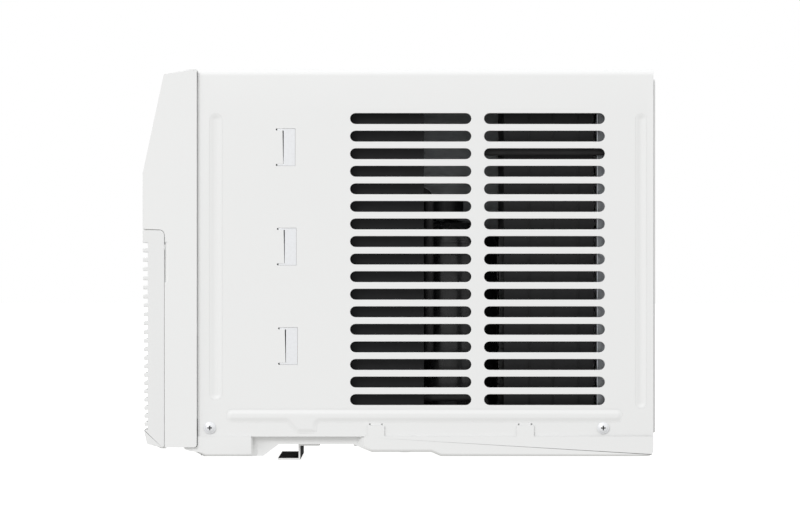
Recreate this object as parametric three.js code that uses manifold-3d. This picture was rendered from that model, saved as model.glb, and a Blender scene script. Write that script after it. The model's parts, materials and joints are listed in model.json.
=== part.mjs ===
// Window air conditioner, built from its separate pieces.
// Millimetres, +Z up. The room side faces -Y, the outdoor side +Y, and X runs across the width.
// The origin is the middle of the footprint, at the underside of the sill brackets.
import * as THREE from "three";
import { mergeVertices } from "three/addons/utils/BufferGeometryUtils.js";
import Module from "manifold-3d";

const wasm = await Module();
wasm.setup();

// ---------- driving dimensions ----------

const GAP = 0.3; // clearance kept between pieces that touch
const HALF_DEPTH = 249;
const FRONT = -HALF_DEPTH;
const REAR = HALF_DEPTH;

// Front frame (moulded fascia)
const FRAME_HALF = 249;
const FRAME_WALL = 2.5;
const FRAME_REAR = -196.5;
const FRAME_BOTTOM = 13.2;
const FRAME_HEEL = 2.5; // radius of the lower rear corner
const FRAME_TOP = 380;
const LOWER_FACE = -227.6; // the wall that stands behind the inlet grille
const BAND_BOTTOM = 224.5; // plain band that carries the controls
const SLOPE_FOOT = 279; // where the face starts to lean back
const SLOPE_ANGLE = THREE.MathUtils.degToRad(12);

// Painted steel cabinet
const CAB_HALF = 245;
const CAB_FRONT = -195.9;
const CAB_REAR = 246.8;
const CAB_BOTTOM = 23.4;
const CAB_TOP = 380.1;
const SHEET = 1;

// Louvre slots, two columns a side
const SLOT_HEIGHT = 10.6;
const SLOT_PITCH = 17.06;
const SLOT_ROWS = 17;
const SLOT_TOP = 332.4;
const SLOT_COLUMNS = [
  [-47.8, 70],
  [82.3, 199.7],
];

// Lanced hooks that the curtain frames slide behind
const HOOK_HEIGHT = 36.3;
const HOOK_PITCH = 96.6;
const HOOK_TOP = 304.6;
const HOOK_Y = -112.7;
const HOOK_LEAN = 0.0115; // the row leans by the tilt that drains the unit
const HOOK_FLOOR = 11.5; // length of the pressed floor behind each slot
const HOOK_DEPTH = 3;
const HOOK_RELIEF = 6.8; // how far the relief cuts reach in front of a hook

// Stamped beads that stiffen the side walls
const BEAD_HEIGHT = 1.2;

// Tongues of the base pan's skirt that rise outside the cabinet
const PAN_TABS = [
  [-30.9, -14.4],
  [113.8, 130.8],
];
const TAB_TOP = 34.2;

// Inlet grille
const GRILLE_HALF = 248.7;
const GRILLE_WALL = 2.6;
const GRILLE_BACK = LOWER_FACE - GAP;
const GRILLE_TOP = BAND_BOTTOM - GAP;
const GRILLE_BOTTOM = 12;
const HINGE_Y = -231;
const HINGE_Z = 15.1;
const SLATS = 22; // grooves between the slats
const GROOVE_DEPTH = 5;

// Air outlet in the sloped face, measured along the slope
const OUTLET_HALF = 205;
const OUTLET_LOW = 14;
const OUTLET_HIGH = 74;
const DUCT_WALL = 2;
const DUCT_DEPTH = 40;

// Fan line: one shaft drives the blower wheel and the condenser fan
const SHAFT_X = -45;
const SHAFT_Z = 162;
const SHAFT_RADIUS = 4;
const WHEEL_RADIUS = 80;
const FAN_RADIUS = 126;

// Coils
const EVAPORATOR = { x0: -222, x1: 150, y0: -185, y1: -151, z0: 34, z1: 270, pitch: 31 };
const CONDENSER = { x0: -214, x1: 214, y0: 196, y1: 234, z0: 30, z1: 366, pitch: 33 };

// Compressor
const COMPRESSOR_X = 158;
const COMPRESSOR_Y = 50;
const COMPRESSOR_RADIUS = 48;

// ---------- colours ----------

const PAINT = "#ebecec";
const FRAME_WHITE = "#eeefef";
const GRILLE_WHITE = "#e8eaea";
const ZINC = "#b9bdc0";
const COPPER = "#b5713f";
const FIN = "#9fa5a8";
const BLACK = "#1d1f21";
const DARK_PLASTIC = "#2c2f31";

// ---------- outlines ----------

// A circle as a closed outline.
function circle(u, v, radius, sides = 24) {
  const points = [];
  for (let i = 0; i < sides; i++) {
    const turn = (i / sides) * 2 * Math.PI;
    points.push([u + radius * Math.cos(turn), v + radius * Math.sin(turn)]);
  }
  return points;
}

// A closed outline whose corners [u, v, radius] are rounded with short arcs.
function rounded(corners, steps = 3) {
  const points = [];
  const last = corners.length;
  corners.forEach(([u, v, radius = 0], i) => {
    if (!radius) {
      points.push([u, v]);
      return;
    }
    const corner = new THREE.Vector2(u, v);
    const before = new THREE.Vector2(...corners[(i + last - 1) % last]).sub(corner).normalize();
    const after = new THREE.Vector2(...corners[(i + 1) % last]).sub(corner).normalize();
    const half = Math.acos(THREE.MathUtils.clamp(before.dot(after), -1, 1)) / 2;
    const centre = before.clone().add(after).normalize().multiplyScalar(radius / Math.sin(half));
    centre.add(corner);
    const reach = radius / Math.tan(half);
    const start = corner.clone().addScaledVector(before, reach).sub(centre);
    const end = corner.clone().addScaledVector(after, reach).sub(centre);
    let sweep = end.angle() - start.angle();
    if (sweep > Math.PI) sweep -= 2 * Math.PI;
    if (sweep < -Math.PI) sweep += 2 * Math.PI;
    for (let k = 0; k <= steps; k++) {
      const turned = start.clone().rotateAround(new THREE.Vector2(), (sweep * k) / steps);
      points.push([centre.x + turned.x, centre.y + turned.y]);
    }
  });
  return points;
}

// A slot with full round ends, running along the first coordinate.
function stadium(u0, u1, v, height, steps = 3) {
  const r = height / 2;
  const points = [];
  for (const [centre, start] of [[u1 - r, -Math.PI / 2], [u0 + r, Math.PI / 2]]) {
    for (let i = 0; i <= steps; i++) {
      const turn = start + (i / steps) * Math.PI;
      points.push([centre + r * Math.cos(turn), v + r * Math.sin(turn)]);
    }
  }
  return points;
}

// Counter-clockwise corners [u, v, radius] moved inwards by a distance, still to be rounded.
function inset(corners, distance) {
  const count = corners.length;
  return corners.map(([u, v, radius = 0], i) => {
    const before = corners[(i + count - 1) % count];
    const after = corners[(i + 1) % count];
    const a = new THREE.Vector2(u - before[0], v - before[1]).normalize();
    const b = new THREE.Vector2(after[0] - u, after[1] - v).normalize();
    const mitre = distance / (1 + a.dot(b));
    const moved = [u - (a.y + b.y) * mitre, v + (a.x + b.x) * mitre];
    return [...moved, Math.max(0, radius - distance)];
  });
}

// ---------- solids ----------

function toSolid(geometry) {
  const bare = geometry.clone();
  bare.deleteAttribute("normal");
  bare.deleteAttribute("uv");
  const merged = mergeVertices(bare, 1e-4);
  return new wasm.Manifold(
    new wasm.Mesh({
      numProp: 3,
      vertProperties: merged.attributes.position.array,
      triVerts: new Uint32Array(merged.index.array),
    }),
  );
}

function toGeometry(solid) {
  const mesh = solid.getMesh();
  const geometry = new THREE.BufferGeometry();
  geometry.setAttribute("position", new THREE.BufferAttribute(mesh.vertProperties, 3));
  geometry.setIndex(new THREE.BufferAttribute(mesh.triVerts, 1));
  const flat = geometry.toNonIndexed();
  flat.computeVertexNormals();
  return flat;
}

const X_AXIS = new THREE.Vector3(1, 0, 0);
const Y_AXIS = new THREE.Vector3(0, 1, 0);
const Z_AXIS = new THREE.Vector3(0, 0, 1);
const PLANES = {
  x: new THREE.Matrix4().makeBasis(Y_AXIS, Z_AXIS, X_AXIS), // outline is [y, z]
  y: new THREE.Matrix4().makeBasis(Z_AXIS, X_AXIS, Y_AXIS), // outline is [z, x]
  z: new THREE.Matrix4(), // outline is [x, y]
};

// An outline pushed along an axis from one place to another.
function prism(axis, points, from, to) {
  const shape = new THREE.Shape(points.map(([u, v]) => new THREE.Vector2(u, v)));
  const geometry = new THREE.ExtrudeGeometry(shape, { depth: to - from, bevelEnabled: false });
  geometry.translate(0, 0, from);
  geometry.applyMatrix4(PLANES[axis]);
  return toSolid(geometry);
}

// Outlines seen from the front are written [x, z], which is easier to read than [z, x].
function frontPrism(points, from, to) {
  return prism("y", points.map(([x, z]) => [z, x]), from, to);
}

function box(x0, x1, y0, y1, z0, z1) {
  const geometry = new THREE.BoxGeometry(x1 - x0, y1 - y0, z1 - z0);
  geometry.translate((x0 + x1) / 2, (y0 + y1) / 2, (z0 + z1) / 2);
  return toSolid(geometry);
}

// A turned piece: profile [radius, height] about an axis through a centre.
function turned(axis, profile, centre, sides = 16) {
  const points = profile.map(([radius, height]) => new THREE.Vector2(radius, height));
  if (THREE.ShapeUtils.area(points) < 0) points.reverse();
  const geometry = new THREE.LatheGeometry(points, sides);
  if (axis === "x") geometry.rotateZ(-Math.PI / 2);
  if (axis === "z") geometry.rotateX(Math.PI / 2);
  geometry.translate(...centre);
  return toSolid(geometry);
}

// A route through stations, one straight step from each to the next.
class Route extends THREE.Curve {
  constructor(stations) {
    super();
    this.stations = stations;
  }

  getPointAt(u, target = new THREE.Vector3()) {
    const place = u * (this.stations.length - 1);
    const index = Math.min(Math.floor(place), this.stations.length - 2);
    return target.lerpVectors(this.stations[index], this.stations[index + 1], place - index);
  }

  getTangentAt(u, target = new THREE.Vector3()) {
    const step = 0.5 / (this.stations.length - 1);
    const ahead = this.getPointAt(Math.min(1, u + step));
    const behind = this.getPointAt(Math.max(0, u - step));
    return target.copy(ahead).sub(behind).normalize();
  }
}

// A round tube through stations.
function tube(stations, radius, sides) {
  const shape = new THREE.Shape(circle(0, 0, radius, sides).map(([u, v]) => new THREE.Vector2(u, v)));
  const steps = stations.length - 1;
  const extrudePath = new Route(stations);
  return toSolid(new THREE.ExtrudeGeometry(shape, { extrudePath, steps, bevelEnabled: false }));
}

// A pipe made of straight runs between corners, joined by smooth bends.
function pipe(corners, radius, bend = 12, sides = 6, steps = 3) {
  const places = corners.map((corner) => new THREE.Vector3(...corner));
  const stations = [places[0]];
  for (let i = 1; i < places.length - 1; i++) {
    const corner = places[i];
    const back = places[i - 1].clone().sub(corner).setLength(bend).add(corner);
    const ahead = places[i + 1].clone().sub(corner).setLength(bend).add(corner);
    stations.push(...new THREE.QuadraticBezierCurve3(back, corner, ahead).getPoints(steps));
  }
  stations.push(places.at(-1));
  return tube(stations, radius, sides);
}

function joined(solids) {
  return solids.reduce((whole, solid) => whole.add(solid));
}

function cut(solid, tools) {
  return tools.length ? solid.subtract(joined(tools)) : solid;
}

// ---------- the assembly ----------

const unit = new THREE.Group();

function place(name, solid, color, roughness, metalness = 0) {
  const material = new THREE.MeshStandardMaterial({ color, roughness, metalness });
  const mesh = new THREE.Mesh(toGeometry(solid), material);
  mesh.name = name;
  unit.add(mesh);
}

// A point on the sloped face: a distance up the slope, and a depth behind it. Returns [y, z].
function onSlope(up, depth) {
  const sine = Math.sin(SLOPE_ANGLE);
  const cosine = Math.cos(SLOPE_ANGLE);
  return [FRONT + up * sine + depth * cosine, SLOPE_FOOT + up * cosine - depth * sine];
}

function slopeBlock(x0, x1, low, high, near, far) {
  const corners = [onSlope(low, near), onSlope(low, far), onSlope(high, far), onSlope(high, near)];
  return prism("x", corners, x0, x1);
}

// ---------- front frame ----------

const FRAME_PROFILE = [
  [FRAME_REAR, FRAME_BOTTOM, FRAME_HEEL],
  [FRAME_REAR, FRAME_TOP],
  [-203, FRAME_TOP, 6],
  [...onSlope(98.5, 0), 2.6],
  [...onSlope(0, 0), 8],
  [FRONT, BAND_BOTTOM],
  [LOWER_FACE, BAND_BOTTOM, 4.8],
  [LOWER_FACE, FRAME_BOTTOM],
];

const PANEL = { half: 110, low: 232, high: 272 };
const INLET = { x0: -220, x1: 150, z0: 32, z1: 210 };
const FILTER = { x0: -225.5, x1: 155.5, z0: 26.5, z1: 212.5, y0: -233, y1: -229.2 };
const RECESS = { front: LOWER_FACE, rear: -223.4, low: 173.2, high: 212.2, depth: 5, slit: 0.6, ramp: 1.1 };
const TONGUE = { half: 243.6, wall: 1.6, front: -198, rear: -193.5, low: 41, high: 378.7, corner: 4.5 };
const LUG = { x0: 239, x1: 243, radius: 3.2, hole: 2 };
const GLAND_X = -205;
const GLAND_Y = -218.2;
const CATCH = { x0: 230.5, x1: 236.5, z0: 213.5, z1: 217.5 };

function filterRail(side) {
  const edge = side < 0 ? FILTER.x0 - 0.5 : FILTER.x1 + 0.5;
  const outer = edge + side * 2.5;
  const lip = edge - side * 3;
  const [a, b] = [Math.min(edge, outer), Math.max(edge, outer)];
  const [c, d] = [Math.min(lip, outer), Math.max(lip, outer)];
  return box(a, b, -235.5, LOWER_FACE + 1, 24, 205).add(box(c, d, -235.5, -233.7, 24, 205));
}

// A scoop in the side that lets fingertips behind the edge of the grille: a deep slit, then a ramp.
function fingerRecess(side) {
  const floor = FRAME_HALF - RECESS.depth;
  const slit = RECESS.front + RECESS.slit;
  const corners = [
    [floor, RECESS.front - 1], [FRAME_HALF + 1, RECESS.front - 1], [FRAME_HALF + 1, RECESS.rear],
    [FRAME_HALF, RECESS.rear], [FRAME_HALF - RECESS.ramp, slit], [floor, slit],
  ];
  const scoop = prism("z", corners, RECESS.low, RECESS.high);
  return side > 0 ? scoop : scoop.mirror([1, 0, 0]);
}

// The tongue round the rear edge that lies just inside the cabinet and closes the joint.
function tongue() {
  const { half, wall, front, rear, low, high, corner } = TONGUE;
  const outline = (step, bottom) => rounded([
    [-half + step, bottom],
    [half - step, bottom],
    [half - step, high - step, corner - step],
    [-half + step, high - step, corner - step],
  ]);
  const hoop = frontPrism(outline(0, low), front - wall, rear);
  const ring = hoop.subtract(frontPrism(outline(wall, low - 5), front - 5, rear + 1));
  const bridge = box(half - wall, FRAME_HALF - 1, front - wall, front, low, FRAME_TOP - 12);
  return joined([ring, bridge, bridge.mirror([1, 0, 0])]);
}

function frontFrame() {
  const outer = prism("x", rounded(FRAME_PROFILE), -FRAME_HALF, FRAME_HALF);
  const innerHalf = FRAME_HALF - FRAME_WALL;
  const cavity = prism("x", rounded(inset(FRAME_PROFILE, FRAME_WALL)), -innerHalf, innerHalf);
  const back = box(
    -innerHalf, innerHalf, FRAME_REAR - 4, FRAME_REAR + 5, FRAME_BOTTOM + FRAME_WALL, FRAME_TOP - FRAME_WALL,
  );
  let frame = outer.subtract(cavity).subtract(back);
  for (const side of [-1, 1]) {
    const [a, b] = side < 0 ? [-247, -241] : [241, 247];
    frame = frame.add(box(a, b, LOWER_FACE + 1, -219, 171, 214.4));
    frame = frame.subtract(fingerRecess(side));
    frame = frame.add(filterRail(side));
    const [e, f] = side < 0 ? [-LUG.x1, -LUG.x0] : [LUG.x0, LUG.x1];
    const lug = prism("x", circle(HINGE_Y, HINGE_Z, LUG.radius, 16), e, f);
    const root = box(e, f, HINGE_Y, LOWER_FACE + 1, HINGE_Z - LUG.radius, HINGE_Z + LUG.radius);
    frame = frame.add(lug.add(root));
    frame = frame.subtract(prism("x", circle(HINGE_Y, HINGE_Z, LUG.hole, 12), e - 1, f + 1));
    const [g, h] = side < 0 ? [-CATCH.x1, -CATCH.x0] : [CATCH.x0, CATCH.x1];
    frame = frame.subtract(box(g - 1.5, h + 1.5, LOWER_FACE - 1, LOWER_FACE + 4, CATCH.z0 - 2, CATCH.z1 + 2));
  }
  frame = frame.add(box(FILTER.x0 - 3, FILTER.x1 + 3, -234, LOWER_FACE + 1, 23.5, 26));
  frame = frame.add(tongue());
  return cut(frame, [
    box(INLET.x0, INLET.x1, LOWER_FACE - 20, LOWER_FACE + 8, INLET.z0, INLET.z1),
    slopeBlock(-OUTLET_HALF, OUTLET_HALF, OUTLET_LOW, OUTLET_HIGH, -6, 8),
    box(-PANEL.half - GAP, PANEL.half + GAP, FRONT - 3, FRONT + 8, PANEL.low - GAP, PANEL.high + GAP),
    prism("z", circle(GLAND_X, GLAND_Y, 6, 12), FRAME_BOTTOM - 2, FRAME_BOTTOM + 5),
  ]);
}

place("front_frame", frontFrame(), FRAME_WHITE, 0.45);

// ---------- air outlet ----------

const H_VANE_ROWS = [23, 44, 65]; // pivots, up the slope
const H_VANE_DEPTH = 9.5;
const H_VANE_CHORD = 15;
const V_VANE_COUNT = 6;
const V_VANE_PITCH = 64;
const V_VANE_DEPTH = 28.5;
const V_VANE_CHORD = 19;
const LINK_ARM = 7;
const H_PIN = 2;
const V_PIN = 1.6;
const PIN_CLEARANCE = 0.4;

const vVanePlace = (i) => (i - (V_VANE_COUNT - 1) / 2) * V_VANE_PITCH;

// A round pin along the slope, at a depth behind the face.
function slopePin(x, depth, radius, low, high) {
  const rod = prism("z", circle(0, 0, radius, 8), low, high);
  const [y, z] = onSlope(0, depth);
  return rod.rotate([(-SLOPE_ANGLE * 180) / Math.PI, 0, 0]).translate([x, y, z]);
}

function outletDuct() {
  const near = FRAME_WALL + GAP;
  const shell = slopeBlock(
    -OUTLET_HALF - DUCT_WALL, OUTLET_HALF + DUCT_WALL,
    OUTLET_LOW - DUCT_WALL, OUTLET_HIGH + DUCT_WALL, near, DUCT_DEPTH,
  );
  const air = slopeBlock(-OUTLET_HALF, OUTLET_HALF, OUTLET_LOW, OUTLET_HIGH, -6, DUCT_DEPTH + 6);
  const holes = H_VANE_ROWS.map((row) => {
    const [y, z] = onSlope(row, H_VANE_DEPTH);
    const reach = OUTLET_HALF + DUCT_WALL + 1;
    return prism("x", circle(y, z, H_PIN + PIN_CLEARANCE, 8), -reach, reach);
  });
  for (let i = 0; i < V_VANE_COUNT; i++) {
    const span = [OUTLET_LOW - DUCT_WALL - 1, OUTLET_HIGH + DUCT_WALL + 1];
    holes.push(slopePin(vVanePlace(i), V_VANE_DEPTH, V_PIN + PIN_CLEARANCE, ...span));
  }
  return shell.subtract(air).subtract(joined(holes));
}

place("outlet_duct", outletDuct(), FRAME_WHITE, 0.5);

// A long vane across the outlet, thick in the middle and thin at its edges.
function horizontalVane(row) {
  const blade = [
    [-H_VANE_CHORD / 2, -0.4],
    [0, -1.3],
    [H_VANE_CHORD / 2, -0.4],
    [H_VANE_CHORD / 2, 0.4],
    [0, 1.3],
    [-H_VANE_CHORD / 2, 0.4],
  ].map(([along, up]) => onSlope(row + up, H_VANE_DEPTH + along));
  const half = OUTLET_HALF - 1;
  const [y, z] = onSlope(row, H_VANE_DEPTH);
  const vane = prism("x", blade, -half, half);
  const right = prism("x", circle(y, z, H_PIN, 8), half - 3, half + 2.6);
  return vane.add(right).add(right.mirror([1, 0, 0]));
}

const H_VANE_NAMES = ["lower_outlet_vane", "middle_outlet_vane", "upper_outlet_vane"];
H_VANE_ROWS.forEach((row, i) => place(H_VANE_NAMES[i], horizontalVane(row), FRAME_WHITE, 0.45));

const V_VANE_LOW = OUTLET_LOW + 5;
const V_VANE_HIGH = OUTLET_HIGH - 1;

function verticalVane(x) {
  const near = V_VANE_DEPTH - V_VANE_CHORD / 2;
  const far = V_VANE_DEPTH + V_VANE_CHORD / 2;
  const blade = slopeBlock(x - 0.8, x + 0.8, V_VANE_LOW, V_VANE_HIGH, near, far);
  const pivot = slopePin(x, V_VANE_DEPTH, V_PIN, OUTLET_LOW - 1.5, OUTLET_HIGH + 1.5);
  const finger = slopePin(x, V_VANE_DEPTH + LINK_ARM, 1, OUTLET_LOW + 1.4, V_VANE_LOW + 1);
  return joined([blade, pivot, finger]);
}

for (let i = 0; i < V_VANE_COUNT; i++) {
  place(`deflector_${i + 1}`, verticalVane(vVanePlace(i)), FRAME_WHITE, 0.5);
}

// The bar that swings the deflectors together; each finger has a short slot to travel in.
function deflectorLink() {
  const reach = vVanePlace(V_VANE_COUNT - 1) + 8;
  const bar = slopeBlock(-reach, reach, OUTLET_LOW + 1, OUTLET_LOW + 3.4, 31.4, 38.6);
  const slots = [];
  for (let i = 0; i < V_VANE_COUNT; i++) {
    const x = vVanePlace(i);
    slots.push(slopeBlock(x - 1.5, x + 1.5, OUTLET_LOW, OUTLET_LOW + 5, 32.7, 37));
  }
  return cut(bar, slots);
}

place("deflector_link", deflectorLink(), FRAME_WHITE, 0.5);

// ---------- controls ----------

const PANEL_FACE = FRONT + 0.6;
const FLANGE_FRONT = FRONT + FRAME_WALL + GAP;
const FLANGE_BACK = FLANGE_FRONT + 2;
const DISPLAY = { x0: -24, x1: 24, z0: 241, z1: 263 };
const BUTTON = { width: 19, height: 9.5, gap: 0.35, travel: 0.8 };
const BUTTONS = [
  ["power_button", -94, 252],
  ["mode_button", -68, 252],
  ["fan_speed_button", -42, 252],
  ["temperature_down_button", 42, 252],
  ["temperature_up_button", 68, 252],
  ["timer_button", 94, 252],
];
const BOARD_FRONT = -239;

function plate(x0, x1, z0, z1, radius, from, to) {
  const corners = [[x0, z0, radius], [x1, z0, radius], [x1, z1, radius], [x0, z1, radius]];
  return frontPrism(rounded(corners, 2), from, to);
}

function controlPanel() {
  const face = plate(-PANEL.half, PANEL.half, PANEL.low, PANEL.high, 1.5, PANEL_FACE, FLANGE_BACK);
  const flange = plate(
    -PANEL.half - 4, PANEL.half + 4, PANEL.low - 3.5, PANEL.high + 3.5, 1.5, FLANGE_FRONT, FLANGE_BACK,
  );
  let panel = face.add(flange);
  for (const x of [-81, 81]) {
    for (const z of [PANEL.low + 4, PANEL.high - 4]) {
      panel = panel.add(frontPrism(circle(x, z, 2.5, 10), FLANGE_BACK - 1, BOARD_FRONT - GAP));
    }
  }
  const windows = BUTTONS.map(([, x, z]) => {
    const half = BUTTON.width / 2 + BUTTON.gap;
    const rise = BUTTON.height / 2 + BUTTON.gap;
    return plate(x - half, x + half, z - rise, z + rise, 2.5, FRONT - 2, FLANGE_BACK + 2);
  });
  const { x0, x1, z0, z1 } = DISPLAY;
  windows.push(plate(x0 - GAP, x1 + GAP, z0 - GAP, z1 + GAP, 1, FRONT - 2, FLANGE_BACK + 2));
  return cut(panel, windows);
}

function pushButton(x, z) {
  const half = BUTTON.width / 2;
  const rise = BUTTON.height / 2;
  const cap = plate(x - half, x + half, z - rise, z + rise, 2.2, FRONT, FLANGE_BACK + 1);
  const collar = plate(
    x - half - 1.5, x + half + 1.5, z - rise - 1.5, z + rise + 1.5, 2, FLANGE_BACK + GAP, FLANGE_BACK + 1.5,
  );
  return cap.add(collar);
}

place("control_panel", controlPanel(), FRAME_WHITE, 0.4);
BUTTONS.forEach(([name, x, z]) => place(name, pushButton(x, z), "#dfe2e3", 0.35));
place(
  "display_window",
  plate(DISPLAY.x0, DISPLAY.x1, DISPLAY.z0, DISPLAY.z1, 0.8, PANEL_FACE, FLANGE_BACK + 1).add(
    plate(
      DISPLAY.x0 - 2, DISPLAY.x1 + 2, DISPLAY.z0 - 2, DISPLAY.z1 + 2, 1, FLANGE_BACK + GAP, FLANGE_BACK + 1.6,
    ),
  ),
  BLACK,
  0.15,
);
place("control_board", box(-104, 104, BOARD_FRONT, BOARD_FRONT + 1.6, 233, 271), "#1f5a3a", 0.5);

// ---------- inlet grille ----------

const GRILLE_PROFILE = [
  [GRILLE_BACK, GRILLE_BOTTOM, 3.1],
  [GRILLE_BACK, GRILLE_TOP, 4.5],
  [-249, GRILLE_TOP, 0.6],
  [-248.9, 203],
  [-247.3, 28],
  [-244.8, 16.6, 1.5],
];
const RIBS = [-112, 0, 112];

// Grooves get closer and narrower towards the bottom. Returns [top, height] of one groove.
function groove(i) {
  const top = 211.7 - 9.2 * i + (1.5 / (2 * (SLATS - 1))) * i * i;
  return [top, 5 - (i / (SLATS - 1)) * 1.1];
}

function inletGrille() {
  const half = GRILLE_HALF - GRILLE_WALL;
  const outer = prism("x", rounded(GRILLE_PROFILE), -GRILLE_HALF, GRILLE_HALF);
  const hollow = prism("x", rounded(inset(GRILLE_PROFILE, GRILLE_WALL)), -half, half);
  const low = GRILLE_BOTTOM + GRILLE_WALL + 1;
  const back = box(-half, half, GRILLE_BACK - 8, GRILLE_BACK + 3, low, GRILLE_TOP - GRILLE_WALL);
  let grille = outer.subtract(hollow).subtract(back);
  for (const x of RIBS) grille = grille.add(box(x - 1, x + 1, -247, -238.5, 19, GRILLE_TOP - 1));
  const cuts = [];
  for (let i = 0; i < SLATS; i++) {
    const [top, height] = groove(i);
    const floor = FRONT + GROOVE_DEPTH;
    const section = [[-256, top - height - 1], [floor, top - height], [floor, top], [-256, top]];
    cuts.push(prism("x", section, -260, 260));
  }
  for (const side of [-1, 1]) {
    const [a, b] = side < 0 ? [-LUG.x1 - 1.2, -LUG.x0 + 1.2] : [LUG.x0 - 1.2, LUG.x1 + 1.2];
    cuts.push(box(a, b, HINGE_Y - 5, GRILLE_BACK + 3, GRILLE_BOTTOM - 3, HINGE_Z + 5));
  }
  grille = cut(grille, cuts);
  for (const side of [-1, 1]) {
    const [a, b] = side < 0 ? [-half - 1, -LUG.x0 - 0.2] : [LUG.x0 + 0.2, half + 1];
    grille = grille.add(prism("x", circle(HINGE_Y, HINGE_Z, LUG.hole - PIN_CLEARANCE, 12), a, b));
    const [c, d] = side < 0 ? [-CATCH.x1, -CATCH.x0] : [CATCH.x0, CATCH.x1];
    grille = grille.add(box(c, d, GRILLE_BACK - 12, LOWER_FACE + 6, CATCH.z0, CATCH.z1));
    grille = grille.add(box(c, d, GRILLE_BACK - 12, GRILLE_BACK - 8, CATCH.z0, GRILLE_TOP - 1));
  }
  return grille;
}

place("inlet_grille", inletGrille(), GRILLE_WHITE, 0.5);

// The washable filter: a frame with cross bars, backed by mesh.
function airFilter() {
  const { x0, x1, y0, y1, z0, z1 } = FILTER;
  const cells = [];
  const columns = 5;
  const rows = 3;
  const width = (x1 - x0 - 8) / columns;
  const height = (z1 - z0 - 8) / rows;
  for (let c = 0; c < columns; c++) {
    for (let r = 0; r < rows; r++) {
      const left = x0 + 4 + c * width;
      const low = z0 + 4 + r * height;
      cells.push(box(left + 1.5, left + width - 1.5, y0 - 1, y1 - 0.8, low + 1.5, low + height - 1.5));
    }
  }
  return cut(box(x0, x1, y0, y1, z0, z1), cells);
}

place("air_filter", airFilter(), "#3a3f42", 0.8);

// ---------- cabinet ----------

// A bead pressed into the +X wall, outwards or inwards: what to add, and what to cut.
function bead(corners, outwards) {
  const outer = rounded(corners, 2);
  const inner = rounded(inset(corners, SHEET), 2);
  const back = CAB_HALF - SHEET;
  if (outwards) {
    return [
      prism("x", outer, CAB_HALF - 0.2, CAB_HALF + BEAD_HEIGHT),
      prism("x", inner, back - 1, CAB_HALF + BEAD_HEIGHT - SHEET),
    ];
  }
  return [
    prism("x", outer, back - BEAD_HEIGHT, back + 0.2),
    prism("x", inner, CAB_HALF - BEAD_HEIGHT, CAB_HALF + 1),
  ];
}

const GROOVES = [
  [[-184.3, 59, 6], [-172, 59, 6], [-172, 337, 6], [-184.3, 337, 6]],
  [[229.8, 51, 4.5], [239.5, 51, 4.5], [239.5, 337, 4.5], [229.8, 337, 4.5]],
];
const RIDGES = [
  [
    [-168, 38.2, 5], [-109, 38.2, 3], [-99.5, 27.2, 3], [-81, 27.2, 2.5],
    [-81, 38.2, 2.5], [217, 38.2, 5], [217, 49.4, 5], [-168, 49.4, 5],
  ],
];
const SCREWS = [[-183.9, 32.1], [198, 32]];

function hookPlace(i) {
  return [HOOK_Y + i * HOOK_PITCH * HOOK_LEAN, HOOK_TOP - i * HOOK_PITCH];
}

// Everything pressed into one side wall. Returns pieces to add and pieces to cut, on the +X side.
function sideFeatures() {
  const adds = [];
  const cuts = [];
  for (const corners of [...GROOVES, ...RIDGES]) {
    const [add, hollow] = bead(corners, RIDGES.includes(corners));
    adds.push(add);
    cuts.push(hollow);
  }
  for (let i = 0; i < 3; i++) {
    const [y, z] = hookPlace(i);
    const low = z - HOOK_HEIGHT / 2;
    const high = z + HOOK_HEIGHT / 2;
    const inner = CAB_HALF - HOOK_DEPTH;
    adds.push(box(inner - SHEET, CAB_HALF - 0.2, y + 0.8, y + HOOK_FLOOR + 1, low - 1, high + 1));
    cuts.push(box(inner, CAB_HALF + 5, y, y + HOOK_FLOOR, low, high));
    cuts.push(box(inner - 3, CAB_HALF + 5, y - 1.2, y + 0.8, low, high));
    for (const edge of [low + 1, high - 1]) {
      cuts.push(box(CAB_HALF - 4, CAB_HALF + 5, y - HOOK_RELIEF, y, edge - 1, edge + 1));
    }
  }
  for (const [from, to] of SLOT_COLUMNS) {
    for (let row = 0; row < SLOT_ROWS; row++) {
      const outline = stadium(from, to, SLOT_TOP - row * SLOT_PITCH, SLOT_HEIGHT);
      cuts.push(prism("x", outline, CAB_HALF - 4, CAB_HALF + 5));
    }
  }
  for (const [y, z] of SCREWS) cuts.push(prism("x", circle(y, z, 2.4, 10), CAB_HALF - 4, CAB_HALF + 5));
  for (const [from, to] of PAN_TABS) {
    for (const y of [from + 2.3, to - 2.3]) {
      cuts.push(prism("x", circle(y, TAB_TOP + 1.3, 0.8, 8), CAB_HALF - 4, CAB_HALF + 5));
    }
  }
  return [joined(adds), joined(cuts)];
}

function cabinet() {
  const outline = rounded([
    [-CAB_HALF, CAB_BOTTOM],
    [CAB_HALF, CAB_BOTTOM],
    [CAB_HALF, CAB_TOP, 6],
    [-CAB_HALF, CAB_TOP, 6],
  ]);
  const inner = rounded([
    [-CAB_HALF + SHEET, CAB_BOTTOM - 5],
    [CAB_HALF - SHEET, CAB_BOTTOM - 5],
    [CAB_HALF - SHEET, CAB_TOP - SHEET, 5],
    [-CAB_HALF + SHEET, CAB_TOP - SHEET, 5],
  ]);
  const opening = [[-233, 10], [233, 10], [233, CAB_TOP - 12], [-233, CAB_TOP - 12]];
  let shell = frontPrism(outline, CAB_FRONT, CAB_REAR);
  shell = shell.subtract(frontPrism(inner, CAB_FRONT - 2, CAB_REAR - SHEET));
  shell = shell.subtract(frontPrism(opening, CAB_REAR - 4, CAB_REAR + 2));
  const [adds, cuts] = sideFeatures();
  shell = shell.add(adds).add(adds.mirror([1, 0, 0]));
  return shell.subtract(cuts).subtract(cuts.mirror([1, 0, 0]));
}

place("cabinet", cabinet(), PAINT, 0.4, 0.1);

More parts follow.
